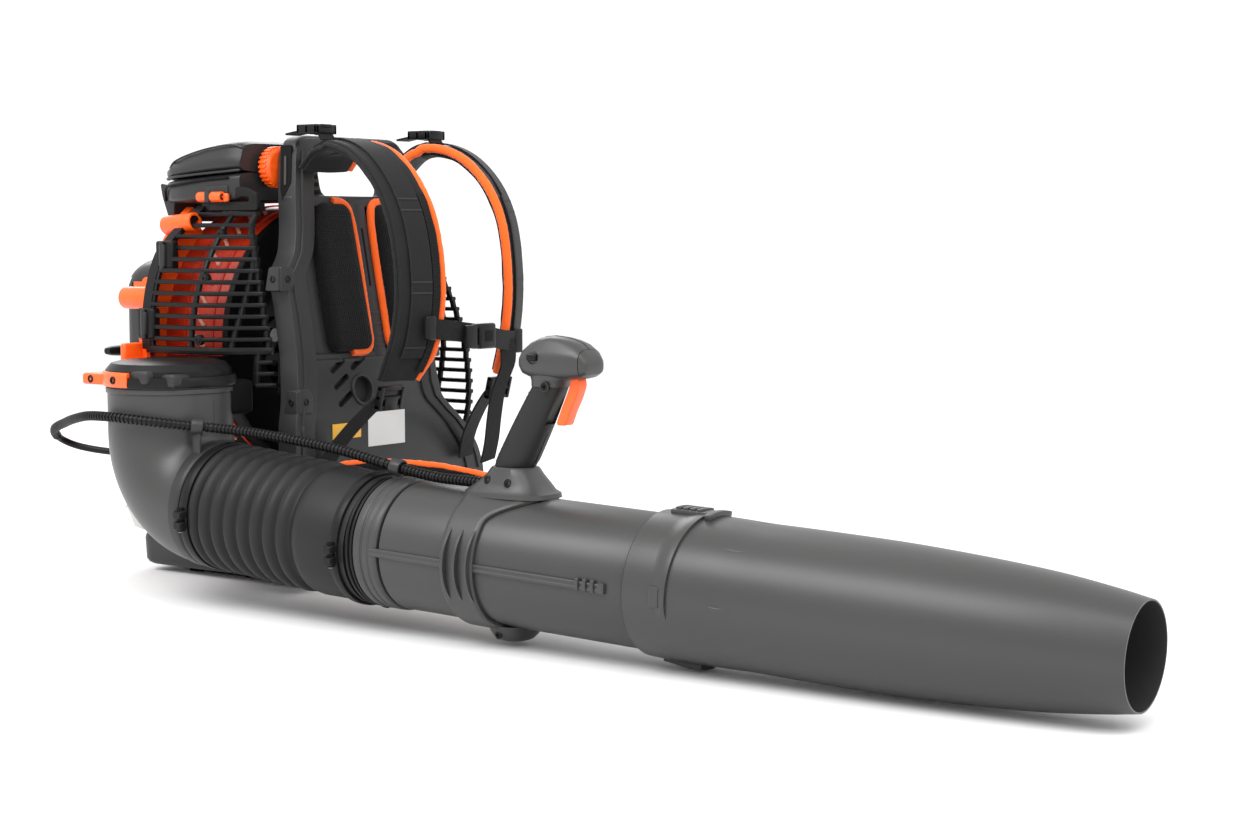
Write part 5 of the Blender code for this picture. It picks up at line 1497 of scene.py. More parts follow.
def makeFilter():
    for name, key, node in (("filter_lid", "lid", "filter_cover"), ("filter_tub", "base", "filter_base")):
        rings = []
        for x, z0, z1, y0, y1 in filterBox[key]:
            ring = oval((x, (y0 + y1) / 2, (z0 + z1) / 2), (y1 - y0) / 2, (z1 - z0) / 2, across, up,
                        5.0 if key == "lid" else 7.0, 64)
            if key == "lid":
                for p in ring:
                    # the lid's lower edge stays square, its top edge is rounded off
                    if p.z > (z0 + z1) / 2:
                        middle = (y0 + y1) / 2
                        p.y = middle + (p.y - middle) * (1 - 0.10 * ease((p.z - z0) / (z1 - z0)))
            rings.append(ring)
        pieces = [loft(name + "_body", rings, looks["deep"], sharp=32)]
        if key == "lid":
            band = [Vector((x + (0.0006 if i else -0.0004), y0 - 0.0002, z0 + 0.0015)) for i,
                    (x, z0, _, y0, _) in
                    enumerate(filterBox["lid"])]
            pieces.append(cord("lid_edge", smoothRoute(band, 0.01), 0.0014, looks["deep"], 10))
            ridge = [Vector((x, y0 + 0.0045, z1 - 0.0050)) for x, _, z1, y0, _ in filterBox["lid"][2:]]
            pieces.append(cord("lid_ridge", smoothRoute(ridge, 0.01), 0.0010, looks["deep"], 8))
        else:
            # a step and a raised arch on the near side, and the rear leg that reaches down to the clamp
            leg = [(-0.1225, 0.4460), (-0.1190, 0.4300), (-0.1080, 0.4030), (-0.1012, 0.4025),
                   (-0.0995, 0.4230),
                   (-0.0900, 0.4400)]
            pieces.append(plate("leg", rounded(leg, 0.004, 4), -0.118, -0.040, "Y", looks["deep"], 0.004, 4))
            arch = [Vector((-0.1130, -0.1180, 0.4260)), Vector((-0.1080, -0.1230, 0.4360)),
                    Vector((-0.0980, -0.1300, 0.4410)), Vector((-0.0700, -0.1362, 0.4440)),
                    Vector((-0.0300, -0.1366, 0.4480)), Vector((0.0050, -0.1366, 0.4500))]
            pieces.append(cord("arch", smoothRoute(arch, 0.008), 0.0014, looks["matte"], 8))
            pieces.append(block("step", (-0.030, -0.1376, 0.4260), (0.004, -0.1340, 0.4420), looks["deep"],
                                0.0016))
            x, y, z, _ = filterBox["knob"]
            pieces.append(rod("boss", (0.012, y, z - 0.010), (x - 0.0004, y, z - 0.010), 0.0085,
                              looks["deep"], 32))
        piece = merged(name, pieces, 34)
        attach(piece, "root")
        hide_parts(node)
    # orange clamp that holds the tub, above the grille
    hold = [block("hold", (-0.030, -0.1420, 0.4235), (0.008, -0.1365, 0.4330), looks["orange"], 0.0022),
            rod("hold_bar", (-0.034, -0.1425, 0.4290), (0.002, -0.1425, 0.4290), 0.0058, looks["orange"], 28,
                bevel=0.001),
            block("hold_band", (-0.020, -0.1490, 0.4232), (-0.013, -0.1400, 0.4348), looks["deep"], 0.001),
            spread("screw", [((0.0025, -0.1425, 0.4290), (1, 0, 0), (0, 0, 1))], screwShape(0.0036),
                   looks["black"])]
    piece = merged("filter_clamp", hold)
    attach(piece, "root")

    x, y, z, _ = filterBox["knob"]
    shape = rounded([(0.0, 0.0142), (0.0170, 0.0142), (0.0205, 0.0120), (0.0215, 0.0110), (0.0215, 0.0025),
                     (0.0195, 0.0004), (0.0, 0.0004)], 0.0012, 3, closed=False)
    wheel = lathe("wheel", [(p[0], p[1]) for p in shape], (x, y, z), (1, 0, 0), looks["orange"], 96)
    spots = []
    for k in range(filterBox["teeth"]):
        a = math.tau * k / filterBox["teeth"]
        spots.append(((x + 0.0066, y + 0.0215 * math.cos(a), z + 0.0215 * math.sin(a)),
                      (0, math.cos(a), math.sin(a)),
                      (1, 0, 0)))
    tooth = block("tooth", (-0.0052, -0.0014, -0.0008), (0.0052, 0.0014, 0.0014), looks["orange"], 0.0006, 2)
    teeth = spread("teeth", spots, tooth, looks["orange"])
    bar = block("bar", (x + 0.0120, y - 0.016, z - 0.0030), (x + 0.0144, y + 0.016, z + 0.0030),
                looks["orange"],
                0.0010)
    piece = merged("knob_body", [wheel, teeth, bar])
    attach(piece, "filter_knob")
    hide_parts("filter_knob")


cowl = {"low": (-0.200, -0.108, 0.225), "high": (-0.1005, 0.108, 0.360)}


def makeCowl():
    low, high = cowl["low"], cowl["high"]
    rings = []
    for x, inset in ((low[0], 0.014), (low[0] + 0.003, 0.008), (low[0] + 0.008, 0.003),
                     (low[0] + 0.016, 0.0005),
                     (low[0] + 0.030, 0.0), (high[0], 0.0)):
        drop = 0.018 * (1 - ease((x - low[0]) / 0.07))
        ring = rounded([(low[1] + inset, low[2] + inset), (high[1] - inset, low[2] + inset),
                        (high[1] - inset, high[2] - inset - drop), (high[1] - inset - 0.030, high[2] - inset),
                        (low[1] + inset + 0.030, high[2] - inset), (low[1] + inset, high[2] - inset - drop)],
                       0.016, 6)
        rings.append([Vector((x, p.x, p.y)) for p in ring])
    shell = loft("cowl_shell", rings, looks["deep"], sharp=32)
    inside = block("inside", (low[0] + 0.0035, low[1] + 0.0035, low[2] - 0.02),
                   (high[0] + 0.02, high[1] - 0.0035,
                                                                                high[2] - 0.0220), looks["matte"], 0)
    hole = rod("hole", (-0.140, 0, 0.33), (-0.140, 0, 0.42), 0.0372, looks["matte"], 48)
    notch = block("notch", (-0.140, -0.030, 0.330), (-0.05, 0.030, 0.42), looks["matte"], 0)
    carb = rod("carb", (-0.144, -0.075, 0.33), (-0.144, -0.075, 0.42), 0.0150, looks["matte"], 32)
    primer = rod("primer", (-0.150, -0.120, 0.248), (-0.150, -0.095, 0.248), 0.0106, looks["matte"], 32)
    shell = carved(shell, [inside, hole, notch, carb, primer], sharp=32)
    pieces = [shell]
    # louvres across the back, and slots on the sides drawn as black bars whose dark is painted shade
    pieces.append(bars("louvres", [((low[0] - 0.0002, 0.012, z), (low[0] - 0.0002, 0.086, z)) for z in
                                   (0.296, 0.305, 0.314, 0.323)], 0.0040, 0.0042, looks["black"]))
    pieces.append(lathe("starter_ring", rounded([(0.044, -0.002), (0.052, -0.002), (0.052, 0.0028),
                                                 (0.044, 0.0028)],
                                                0.001, 3), (low[0], 0, 0.262), (-1, 0,
                                                                                0), looks["black"], 72))
    pieces.append(lathe("starter_face", [(0, 0.0), (0.044, 0.0), (0.044, 0.0010), (0.036, 0.0022),
                                         (0, 0.0030)],
                        (low[0], 0, 0.262), (-1, 0, 0), looks["deep"], 72))
    # the vents are flat matte black marks on the starter face: painted shade for the openings
    vents = []
    for k in range(12):
        a = math.tau * k / 12
        vents.append(((low[0] - 0.0024, 0.026 * math.cos(a), 0.262 + 0.026 * math.sin(a)), (-1, 0, 0),
                      (0, math.cos(a), math.sin(a))))
    pieces.append(spread("vents", vents, block("vent", (-0.0085, -0.0018, -0.001), (0.0085, 0.0018, 0.0006),
                                               looks["matte"], 0.0005, 2), looks["matte"]))
    for side in (-1, 1):
        pieces.append(bars("gills", [((x, side * 0.1082, 0.300), (x - 0.008, side * 0.1082, 0.332)) for x in
                                     (-0.172, -0.160, -0.124, -0.112)], 0.0045, 0.0040, looks["black"]))
        # orange edge where the cowl meets the housing
        y = side * 0.1065
        edge = [(-0.1040, y, 0.232), (-0.1040, y, 0.335), (-0.1080, y * 0.93, 0.350),
                (-0.1180, y * 0.72, 0.3608)]
        pieces.append(strip("edge", smoothRoute(edge, 0.006),
                            [(-0.003, -0.003), (0.003, -0.003), (0.003, 0.003),
                                                               (-0.003, 0.003)], looks["orange"], side=(1, 0,
                                                                                                        0)))
    spots = [((low[0] - 0.0004, y, z), (-1, 0, 0), (0, 0, 1)) for y, z in
             ((-0.080, 0.245), (0.080, 0.245), (-0.072, 0.318))]
    pieces.append(spread("screws", spots, screwShape(0.0045), looks["steel"]))
    piece = merged("cowl", pieces, 34)
    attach(piece, "root")
    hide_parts("engine_cover")

    low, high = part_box("starter_handle")
    middle = (Vector(low) + Vector(high)) / 2
    rings = []
    for k in range(17):
        t = k / 16
        y = mix(low[1], high[1], t)
        grow = 0.55 + 0.45 * math.sin(math.pi * min(1, max(0, t * 1.0))) ** 0.5
        rings.append(oval((-0.2120, y, middle.z), 0.0086 * grow, 0.0068 * grow, (1, 0, 0), up, 2.4, 36))
    grip = loft("pull", rings, looks["black"], sharp=50)
    hub = rod("hub", (-0.2150, -0.085, middle.z), (-0.2012, -0.085, middle.z), 0.0052, looks["black"], 28,
              bevel=0.001)
    rope = cord("rope", [Vector((x, -0.085, middle.z)) for x in (-0.2015, -0.1990, -0.1950, -0.1910)], 0.0021,
                looks["thread"], 12)
    piece = merged("pull_grip", [grip, hub, rope])
    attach(piece, "starter_handle")
    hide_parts("starter_handle")


def makeEngineParts():
    # cooling fins, a fuller set than the simple solid
    x = -0.140
    line = [(0.0, 0.3895), (0.026, 0.3895), (0.030, 0.3870)]
    for k in range(9):
        z = 0.3850 - 0.0078 * k
        line += [(0.0348, z), (0.0348, z - 0.0018), (0.0262, z - 0.0022), (0.0262, z - 0.0074)]
    line += [(0.0262, 0.3085), (0.0216, 0.3085), (0.0216, 0.3752), (0.0, 0.3752)]
    fins = lathe("fins", line, (x, 0, 0), up, looks["alloy"], 72)
    piece = merged("cylinder_fins", [fins])
    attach(piece, "root")
    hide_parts("cylinder")
    plug = [(0, 0.0245), (0.0060, 0.0245), (0.0078, 0.0225), (0.0080, 0.018), (0.0094, 0.0165),
            (0.0094, 0.011),
            (0.0072, 0.0095), (0.0050, 0.009), (0.0050, 0.0), (0, 0.0)]
    boot = lathe("boot", plug, (x - 0.012, 0.012, 0.3898), up, looks["matte"], 40)
    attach(boot, "root")
    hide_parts("spark_plug")
    lead = cord("ignition_lead", smoothRoute([(x - 0.012, 0.012, 0.4120), (x - 0.020, 0.026, 0.4130),
                                              (x - 0.018, 0.048, 0.4020), (x + 0.004, 0.062, 0.3800),
                                              (x + 0.016, 0.064, 0.3600), (x + 0.018, 0.064, 0.3500)], 0.004),
                0.0026, looks["thread"], 12)
    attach(lead, "root")
    low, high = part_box("primer_bulb")
    cx, cz = (low[0] + high[0]) / 2, (low[2] + high[2]) / 2
    bulb = lathe("bulb", [(0, 0.0140), (0.0035, 0.0136), (0.0066, 0.0118), (0.0086, 0.0088), (0.0094, 0.0050),
                          (0.0096, 0.0), (0, 0.0)], (cx, high[1], cz), (0, -1, 0), looks["bulb"], 48)
    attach(bulb, "primer_bulb")
    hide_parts("primer_bulb")
    # plain machined and cast pieces keep their solids and take a real finish
    for node, look in (("crankcase", "alloy"), ("piston", "alloy"), ("connecting_rod", "steel"),
                       ("crankshaft", "steel"), ("muffler", "steel"), ("carburettor", "alloy"),
                       ("impeller", "deep"), ("starter_pulley", "black"), ("filter_element", "paper"),
                       ("choke_lever", "orange")):
        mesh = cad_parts[node].data
        mesh.materials.clear()
        mesh.materials.append(looks[look])


looks["bulb"] = finish("bulb_clear", (0.300, 0.300, 0.290), 0.25, grain=400, depth=0.03, through=0.35)

makeBase()
makeCarrier()
print("base and frame made")
makeHousing()
makeGrille("grille_right", -1, 0.280, 0.262, 0.418, "intake_guard_right")
makeGrille("grille_left", 1, 0.245, 0.150, 0.366, "intake_guard_left")
makeFilter()
makeCowl()
makeEngineParts()
print("engine side made")


# harness, padding and throttle cable
harness = {
    "route": ((0.083, 0.066, 0.462), (0.105, 0.070, 0.480), (0.135, 0.078, 0.483), (0.170, 0.081, 0.470),
              (0.200, 0.083, 0.442), (0.220, 0.083, 0.405), (0.229, 0.082, 0.360), (0.230, 0.082, 0.315),
              (0.222, 0.084, 0.270), (0.206, 0.090, 0.234)),
    "tilt": 0.42, "half": 0.0250, "thick": 0.0060, "piping": 0.0050,
    "topBuckle": (0.095, 0.092, 0.4955), "lowBuckle": (0.199, 0.0935, 0.214),
    "webbing": ((0.190, 0.095, 0.212), (0.164, 0.104, 0.188), (0.138, 0.115, 0.155), (0.126, 0.123, 0.128)),
}


def padSection(half, thick, count=9, crown=0.0020):
    # a cushion's section: a soft crown on the outer side, rounded edges, a flatter underside
    top = [(mix(-half, half, k / (count - 1)), thick + crown * (1 - (2 * k / (count - 1) - 1) ** 2))
           for k in range(count)]
    low = [(p[0], -thick) for p in reversed(top)]
    return [(p[0], p[1]) for p in rounded([Vector((*p, 0)).to_2d() for p in top + low], 0.0035, 3)]


def ripple(obj, height, scale, seed=0.0):
    # soft creases and the slight unevenness of a stuffed seam
    for v in obj.data.vertices:
        push = noise.noise(v.co * scale + Vector((seed, seed, seed)))
        v.co += v.normal * push * height
    return obj


def makeStrap(label, side):
    path = smoothRoute([(x, side * y, z) for x, y, z in harness["route"]], 0.006)
    tilt = Vector((-harness["tilt"], side, 0)).normalized()
    count = len(path)

    def frameAt(i):
        ahead = (path[min(i + 1, count - 1)] - path[max(i - 1, 0)]).normalized()
        out = tilt.cross(ahead).normalized()
        if out.x < 0 or (abs(out.x) < 0.2 and out.z < 0):
            out = -out
        return ahead, out

    half, thick = harness["half"], harness["thick"]
    scale = [(mix(1.10, 1.0, ease(i / 8)) * mix(1.0, 0.80, ease((i - count + 7) / 7)),
              1.0) for i in range(count)]
    flip = tilt.cross((path[1] - path[0]).normalized()).dot(frameAt(0)[1])
    section = padSection(half, thick)
    if flip < 0:
        section = [(a, -b) for a, b in section][::-1]
    body = strip("pad", path, section, looks["cloth"], side=tilt, scale=scale, sharp=60)
    ripple(body, 0.0009, 60.0, 3.0 * side)
    # black mesh on the side worn against the body
    body.data.materials.append(looks["mesh"])
    for face in body.data.polygons:
        near = min(range(count), key=lambda i: (path[i] - face.center).length_squared)
        if face.normal.dot(frameAt(near)[1]) < -0.5:
            face.material_index = 1

    pieces, trims = [body], []
    for edge in (-1, 1):
        line = []
        for i in range(count):
            ahead, out = frameAt(i)
            line.append(path[i] + tilt * edge * (half * scale[i][0] + 0.0016) + out * 0.0014)
        look = looks["piping"] if edge < 0 else looks["cloth"]
        tube = strip("piping", smoothRoute(line, 0.0022),
                     circle(harness["piping"] if edge < 0 else 0.0022, 12), look,
                     sharp=80)
        for v in tube.data.vertices:
            v.co += v.normal * 0.00045 * noise.noise(v.co * 260.0)
        (trims if edge < 0 else pieces).append(tube)

    # a raised centre panel with its stitching, then paired seams across
    lift = thick + 0.0021
    first, last = int(count * 0.10), int(count * 0.93)
    middle = [path[i] + frameAt(i)[1] * (lift - 0.0004) for i in range(first, last)]
    panel = [(-0.0125, -0.001), (0.0125, -0.001), (0.0118, 0.0008), (-0.0118, 0.0008)]
    if flip < 0:
        panel = [(a, -b) for a, b in panel][::-1]
    pieces.append(strip("panel", middle, panel, looks["cloth"], side=tilt, sharp=60))
    band = [path[i] + frameAt(i)[1] * (lift + 0.0002) - tilt * 0.0175 for i in range(int(count * 0.42),
                                                                                     count - 2)]
    flat = [(-0.0038, -0.0012), (0.0038, -0.0012), (0.0036, 0.0007), (-0.0036, 0.0007)]
    if flip < 0:
        flat = [(a, -b) for a, b in flat][::-1]
    pieces.append(strip("ladder", band, flat, looks["webbing"], side=tilt, sharp=60))
    stitches = []
    for offset in (-0.0112, 0.0112):
        for i in range(first + 1, last - 1):
            ahead, out = frameAt(i)
            for part in (0.0, 0.5):
                spot = path[i].lerp(path[i + 1], part) + out * (lift + 0.0005) + tilt * offset
                stitches.append((spot, out, ahead))
    for at in (0.44, 0.47, 0.68, 0.71, 0.88):
        i = int(count * at)
        ahead, out = frameAt(i)
        for k in range(-5, 6):
            stitches.append((path[i] + out * (lift + 0.0006) + tilt * k * 0.0022, out, tilt))
        across_ = [path[i] + out * (lift + 0.0004) + tilt * a for a in (-0.0122, 0.0, 0.0122)]
        pieces.append(strip("seam", across_, [(-0.0010, -0.0008), (0.0010, -0.0008), (0.0010, 0.0004),
                                           (-0.0010, 0.0004)], looks["thread"], side=ahead))
    for i in range(int(count * 0.44), count - 3, 3):
        ahead, out = frameAt(i)
        spot = path[i] + out * (lift + 0.0010) - tilt * 0.0175
        stitches.append((spot, out, tilt))
    thread = block("stitch", (-0.0009, -0.00022, -0.0002), (0.0009, 0.00022, 0.0002), looks["thread"], 0)
    pieces.append(spread("stitches", stitches, thread, looks["thread"]))
    strap = merged("strap_" + label, pieces, 60)
    edge = merged("strap_edge_" + label, trims, 80)
    for piece in (strap, edge):
        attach(piece, "root")
    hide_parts("shoulder_strap_" + label)

    # yoke that runs back from the pad to the frame
    start = [Vector((0.071, side * 0.064, 0.458)), Vector((0.078, side * 0.066, 0.470)),
             Vector((0.100, side * 0.070, 0.486)), Vector((0.118, side * 0.074, 0.4915))]
    yoke = strip("yoke_" + label, smoothRoute(start, 0.006),
                 [(-0.016, -0.0012), (0.016, -0.0012), (0.016, 0.0012),
                                                              (-0.016, 0.0012)], looks["webbing"], side=tilt)
    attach(yoke, "root")


def ladderLock(centre, halfWide, halfLong, thick, u, v, w):
    # a frame with two bars and a tongue, the way a webbing adjuster is moulded
    centre, u, v, w = Vector(centre), Vector(u), Vector(v), Vector(w)
    parts = []

    def piece(a0, a1, b0, b1, c0, c1, bevel=0.0010):
        obj = block("bar", (a0, b0, c0), (a1, b1, c1), looks["black"], bevel, 2)
        turn = Matrix((u, v, w)).transposed().to_4x4()
        obj.data.transform(Matrix.Translation(centre) @ turn)
        return obj
    parts.append(piece(-halfWide, -halfWide + 0.0042, -halfLong, halfLong, -thick, thick))
    parts.append(piece(halfWide - 0.0042, halfWide, -halfLong, halfLong, -thick, thick))
    for b in (-halfLong, -0.0025, halfLong - 0.0045):
        parts.append(piece(-halfWide, halfWide, b, b + 0.0045, -thick * 0.9, thick * 0.8))
    parts.append(piece(-halfWide * 0.55, halfWide * 0.55, -0.002, halfLong + 0.0010, thick * 0.3,
                       thick * 1.05))
    parts.append(piece(-halfWide + 0.0040, halfWide - 0.0040, -halfLong + 0.003, halfLong - 0.003,
                       -thick * 0.35,
                      thick * 0.35, 0.0004))
    return parts


def makeBuckles(label, side):
    x, y, z = harness["topBuckle"]
    parts = ladderLock((x + 0.001, side * y, z + 0.0062), 0.0160, 0.0150, 0.0052,
                       (0, 1, 0), (1, 0, 0.0), (0, 0, 1))
    tail = smoothRoute([(0.1130, side * y, 0.4900), (0.1050, side * y, 0.5000), (0.0950, side * y, 0.5010),
                        (0.0820, side * y, 0.5000), (0.0700, side * y, 0.4985),
                        (0.0600, side * y, 0.4970)], 0.004)
    parts.append(strip("tail", tail, [(-0.0110, -0.0011), (0.0110, -0.0011), (0.0110, 0.0011),
                                      (-0.0110, 0.0011)],
                       looks["webbing"], side=across))
    piece = merged("top_lock_" + label, parts)
    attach(piece, "root")
    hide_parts("top_buckle_" + label)

    x, y, z = harness["lowBuckle"]
    out = Vector((1, 0, -0.25)).normalized()
    down = Vector((-0.25, 0, -1)).normalized()
    parts = ladderLock((x, side * y, z), 0.0185, 0.0125, 0.0040, (0, 1, 0), down, out)
    piece = merged("low_lock_" + label, parts)
    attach(piece, "root")
    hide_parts("lower_buckle_" + label)

    line = smoothRoute([(0.1990, side * 0.0935, 0.2120)] + [(px, side * py, pz) for px, py,
                                                            pz in harness["webbing"]],
                       0.005)
    web = strip("web", line, [(-0.0118, -0.0012), (0.0118, -0.0012), (0.0118, 0.0012), (-0.0118, 0.0012)],
                looks["webbing"], side=(0.0, 1.0, 0.1 * side))
    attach(web, "root")
    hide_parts("lower_webbing_" + label)


def makeChest():
    line = [Vector(p) for p in ((0.2440, -0.0740, 0.2880), (0.2480, -0.0480, 0.2850), (0.2500, 0.0, 0.2790),
                                (0.2480, 0.0400, 0.2720), (0.2430, 0.0740, 0.2690))]
    flat = [(-0.0108, -0.0012), (0.0108, -0.0012), (0.0108, 0.0012), (-0.0108, 0.0012)]
    band = strip("band", smoothRoute(line, 0.005), flat, looks["webbing"], side=(0.1, 0.1, 1))
    tail = smoothRoute([(0.2460, 0.0500, 0.2700), (0.2430, 0.0560, 0.2450), (0.2340, 0.0500, 0.2150),
                        (0.2230, 0.0560, 0.1850), (0.2110, 0.0660, 0.1560), (0.2010, 0.0710, 0.1320)], 0.006)
    hang = strip("hang", tail, flat, looks["webbing"], side=(0.15, 1, 0.2))
    piece = merged("chest_band", [band, hang])
    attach(piece, "root")
    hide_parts("chest_strap")
    low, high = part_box("chest_buckle")
    middle = (Vector(low) + Vector(high)) / 2
    parts = [block("socket", (middle.x - 0.0048, middle.y - 0.004, middle.z - 0.0138),
                   (middle.x + 0.0048, middle.y + 0.024, middle.z + 0.0138), looks["black"], 0.0028),
             block("prong", (middle.x - 0.0034, middle.y - 0.024, middle.z - 0.0125),
                   (middle.x + 0.0034, middle.y - 0.006, middle.z + 0.0125), looks["black"], 0.0018)]
    for s in (-1, 1):
        parts.append(block("arm", (middle.x - 0.0030, middle.y - 0.012, middle.z + s * 0.0110 - 0.0022),
                           (middle.x + 0.0030, middle.y + 0.010, middle.z + s * 0.0110 + 0.0022),
                           looks["black"],
                           0.0012))
    # the buckle's window is a flat matte black patch: painted shade for the opening
    parts.append(block("window", (middle.x + 0.0044, middle.y + 0.004, middle.z - 0.0060),
                       (middle.x + 0.0052, middle.y + 0.018, middle.z + 0.0060), looks["matte"], 0.0004))
    parts.append(block("slider", (0.2395, 0.0640, 0.2560), (0.2475, 0.0780, 0.2830), looks["black"], 0.0020))
    parts.append(block("slider", (0.2405, -0.0860, 0.2760), (0.2480, -0.0720, 0.3020), looks["black"],
                       0.0020))
    piece = merged("chest_clip", parts)
    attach(piece, "root")
    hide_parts("chest_buckle")


def makeBackPad(label, side):
    # a stuffed cushion in mesh with an orange edge along its inner side
    outline = [(0.015, 0.258), (0.079, 0.258), (0.081, 0.330), (0.078, 0.400), (0.066, 0.424), (0.020, 0.424)]
    outline = [(side * y, z) for y, z in outline]
    ring = rounded([Vector(p) for p in outline], 0.012, 6)
    centre = Vector((sum(p[0] for p in ring) / len(ring), sum(p[1] for p in ring) / len(ring)))
    rows = []
    for x, grow in ((0.1100, 0.94), (0.1120, 0.98), (0.1160, 1.0), (0.1210, 0.985), (0.1252, 0.94),
                    (0.1272, 0.85),
                    (0.1280, 0.60), (0.1283, 0.25)):
        rows.append([Vector((x, centre.x + (p[0] - centre.x) * grow, centre.y + (p[1] - centre.y) * grow))
                     for p in ring])
    pad = loft("back_cushion_" + label, rows, looks["mesh"], sharp=80)
    ripple(pad, 0.0006, 50.0, side)
    inner = [Vector((0.1185, side * 0.0480, 0.2575)), Vector((0.1185, side * 0.0260, 0.2580)),
             Vector((0.1190, side * 0.0160, 0.2680)), Vector((0.1190, side * 0.0150, 0.3000)),
             Vector((0.1190, side * 0.0150, 0.3800)), Vector((0.1190, side * 0.0180, 0.4120)),
             Vector((0.1185, side * 0.0260, 0.4230)), Vector((0.1185, side * 0.0440, 0.4250))]
    tube = strip("edge", smoothRoute(inner, 0.003), circle(0.0046, 12), looks["piping"], sharp=80)
    for v in tube.data.vertices:
        v.co += v.normal * 0.0004 * noise.noise(v.co * 260.0)
    for obj in (pad, tube):
        for v in obj.data.vertices:
            v.co.x -= carrier["lean"] * (v.co.z - carrier["knee"])
    trim = merged("back_cushion_edge_" + label, [tube], 80)
    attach(pad, "root")
    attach(trim, "root")
    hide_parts("back_pad_" + label)


def makeBelt(label, points, heights):
    path = smoothRoute([Vector(p) for p in points], 0.008)
    count = len(path)
    scale = []
    for i in range(count):
        t = i / (count - 1) * (len(heights) - 1)
        k = min(int(t), len(heights) - 2)
        tall = mix(heights[k], heights[k + 1], t - k)
        close = 1 - 0.55 * ease((i - count + 5) / 5)
        scale.append((tall / 0.08 * close, 1.0))
    section = [(p[0], p[1]) for p in padSection(0.0375, 0.0052, 11, 0.0012)]
    body = strip("belt_" + label, path, section, looks["mesh"], side=(0, 0, 1), scale=scale, sharp=70)
    ripple(body, 0.0016, 34.0, 2.0)
    trims = []
    for s in (-1, 1):
        line = [path[i] + up * s * 0.0378 * scale[i][0] for i in range(count)]
        trims.append(strip("edge", smoothRoute(line, 0.0025), circle(0.0040, 12), looks["piping"], sharp=80))
    tip = [path[-1] + up * 0.0378 * scale[-1][0] * math.cos(math.pi * k / 8) +
           (path[-1] - path[-2]).normalized() * 0.004 * math.sin(math.pi * k / 8) for k in range(9)]
    trims.append(strip("edge", smoothRoute(tip, 0.0025), circle(0.0040, 12), looks["piping"], sharp=80))
    for tube in trims:
        for v in tube.data.vertices:
            v.co += v.normal * 0.0007 * noise.noise(v.co * 190.0)
    edge = merged("belt_edge_" + label, trims, 80)
    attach(body, "root")
    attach(edge, "root")
    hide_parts("hip_belt_" + label)


cable = {
    "route": ((0.4335, -0.2450, 0.1535), (0.3920, -0.2420, 0.1540), (0.3530, -0.2400, 0.1580),
              (0.3200, -0.2420, 0.1640), (0.2630, -0.2440, 0.1740), (0.2060, -0.2470, 0.1805),
              (0.1700, -0.2500, 0.1840), (0.1330, -0.2520, 0.1865), (0.1000, -0.2590, 0.1885),
              (0.0770, -0.2780, 0.1915), (0.0500, -0.3020, 0.1960), (0.0150, -0.3140, 0.1990),
              (-0.0300, -0.3080, 0.1980), (-0.0720, -0.2910, 0.1920), (-0.1150, -0.2680, 0.1840),
              (-0.1600, -0.2450, 0.1730), (-0.1830, -0.2200, 0.1600), (-0.1770, -0.1980, 0.1490),
              (-0.1450, -0.1800, 0.1430), (-0.1050, -0.1660, 0.1430), (-0.0650, -0.1480, 0.1540),
              (-0.0400, -0.1240, 0.1710)),
    "radius": 0.0052, "pitch": 0.0048, "breaks": (0.386, 0.320, 0.206, 0.100),
}


def lengthOf(path):
    return sum((b - a).length for a, b in zip(path, path[1:]))


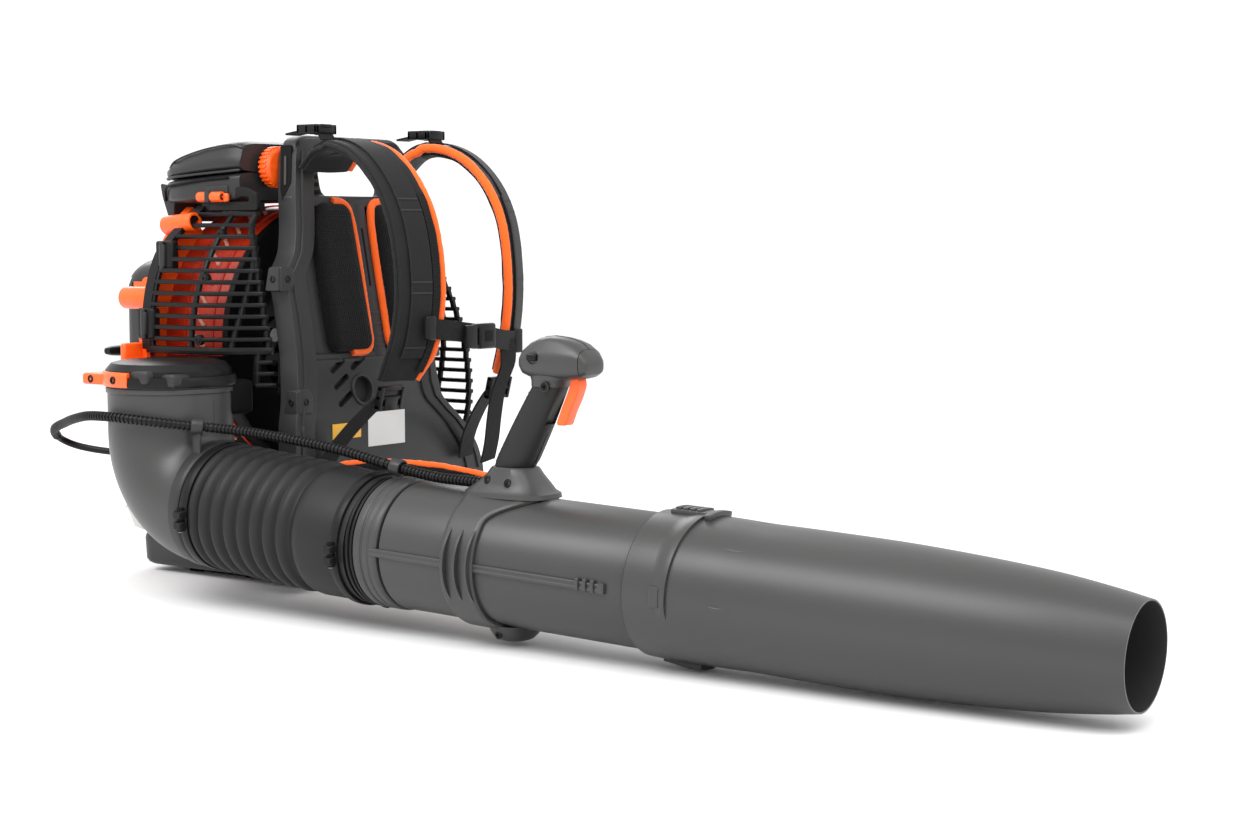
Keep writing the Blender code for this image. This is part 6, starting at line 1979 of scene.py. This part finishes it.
def makeCable():
    route = smoothRoute([Vector(p) for p in cable["route"]], 0.004)

    def nearest(x):
        return min(range(len(route)), key=lambda k: abs(route[k].x - x) - 0.5 * route[k].z)

    # it runs on a little way inside the handle's foot
    hidden = [route[0] + (route[0] - route[1]).normalized() * 0.004 * k for k in (4, 3, 2, 1)]
    route = hidden + route
    stops = [0, *(nearest(x) for x in cable["breaks"]), len(route) - 1]
    r = cable["radius"]
    pieces = (("conduit_handle", None, stops[0], stops[1], ("tube", "handle", 0.388, 0.428)),
              ("conduit_front", "cable_front", stops[1], stops[2], ("hose_end", "tube", 0.326, 0.372)),
              ("conduit_hose_front", "cable_hose_front", stops[2], stops[3],
               ("hose_middle", "hose_end", 0.212, 0.300)),
              ("conduit_hose_rear", "cable_hose_rear", stops[3], stops[4],
               ("root", "hose_middle", 0.104, 0.200)),
              ("conduit_rear", "cable_rear", stops[4], stops[5], ("root",)))
    for name, node, first, last, bodies in pieces:
        path = route[first:last + 1]
        body = strip(name, path, circle(r - 0.0012, 16), looks["black"], sharp=80)
        # the upper strand is ribbed, the return under the loop is plain
        plainFrom = next((i for i, p in enumerate(path) if p.z < 0.160),
                         len(path)) if len(bodies) == 1 else len(path)
        ribbed = path[:plainFrom]
        rings = []
        gone = 0.0
        for a, b in zip(ribbed, ribbed[1:]):
            step = (b - a).length
            while gone < step:
                t = gone / step
                rings.append((a.lerp(b, t), (b - a).normalized(), Vector((0, 0, 1))))
                gone += cable["pitch"]
            gone -= step
        ring = lathe("ring", [(r - 0.0018, -0.0014), (r - 0.0003, -0.0013), (r, -0.0007), (r, 0.0007),
                              (r - 0.0003, 0.0013), (r - 0.0018, 0.0014)], (0, 0, 0), (0, 0,
                                                                                       1), looks["black"], 18)
        coils = spread("coils", rings, ring, looks["black"])
        piece = merged(name, [body, coils], 50)
        if len(bodies) == 1:
            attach(piece, bodies[0])
        else:
            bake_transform(piece)
        if node:
            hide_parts(node)
        print(name, round(lengthOf(path), 3))
    for name, node, at in (("clip_front", "cable_clip_front", stops[2] - 3),
                           ("clip_rear", "cable_clip_rear", stops[4] + 3)):
        low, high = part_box(node)
        middle = (Vector(low) + Vector(high)) / 2
        way = (route[at + 1] - route[at - 1]).normalized()
        shell = lathe("clip", rounded([(0.0062, -0.0060), (0.0088, -0.0060), (0.0088, 0.0060),
                                       (0.0062, 0.0060)],
                                      0.0008, 2), middle, way, looks["frame"], 40)
        foot = block("foot", (middle.x - 0.0055, middle.y - 0.0030, middle.z - 0.0300),
                     (middle.x + 0.0055, middle.y + 0.0010, middle.z - 0.0060), looks["frame"], 0.001)
        piece = merged(name, [shell, foot])
        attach(piece, "hose_end" if at < stops[3] else "root")
        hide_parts(node)


for label, side in (("right", -1), ("left", 1)):
    makeStrap(label, side)
    makeBuckles(label, side)
    makeBackPad(label, side)
makeChest()
makeBelt("right", ((0.135, -0.132, 0.102), (0.180, -0.126, 0.108), (0.260, -0.118, 0.108),
                   (0.360, -0.106, 0.100),
                   (0.440, -0.092, 0.090)), (0.070, 0.082, 0.086, 0.080, 0.060))
makeBelt("left", ((0.135, 0.130, 0.058), (0.180, 0.120, 0.050), (0.260, 0.110, 0.048), (0.350, 0.105, 0.046),
                  (0.420, 0.100, 0.044)), (0.066, 0.072, 0.072, 0.068, 0.054))
print("harness made")
makeCable()
print("cable made")
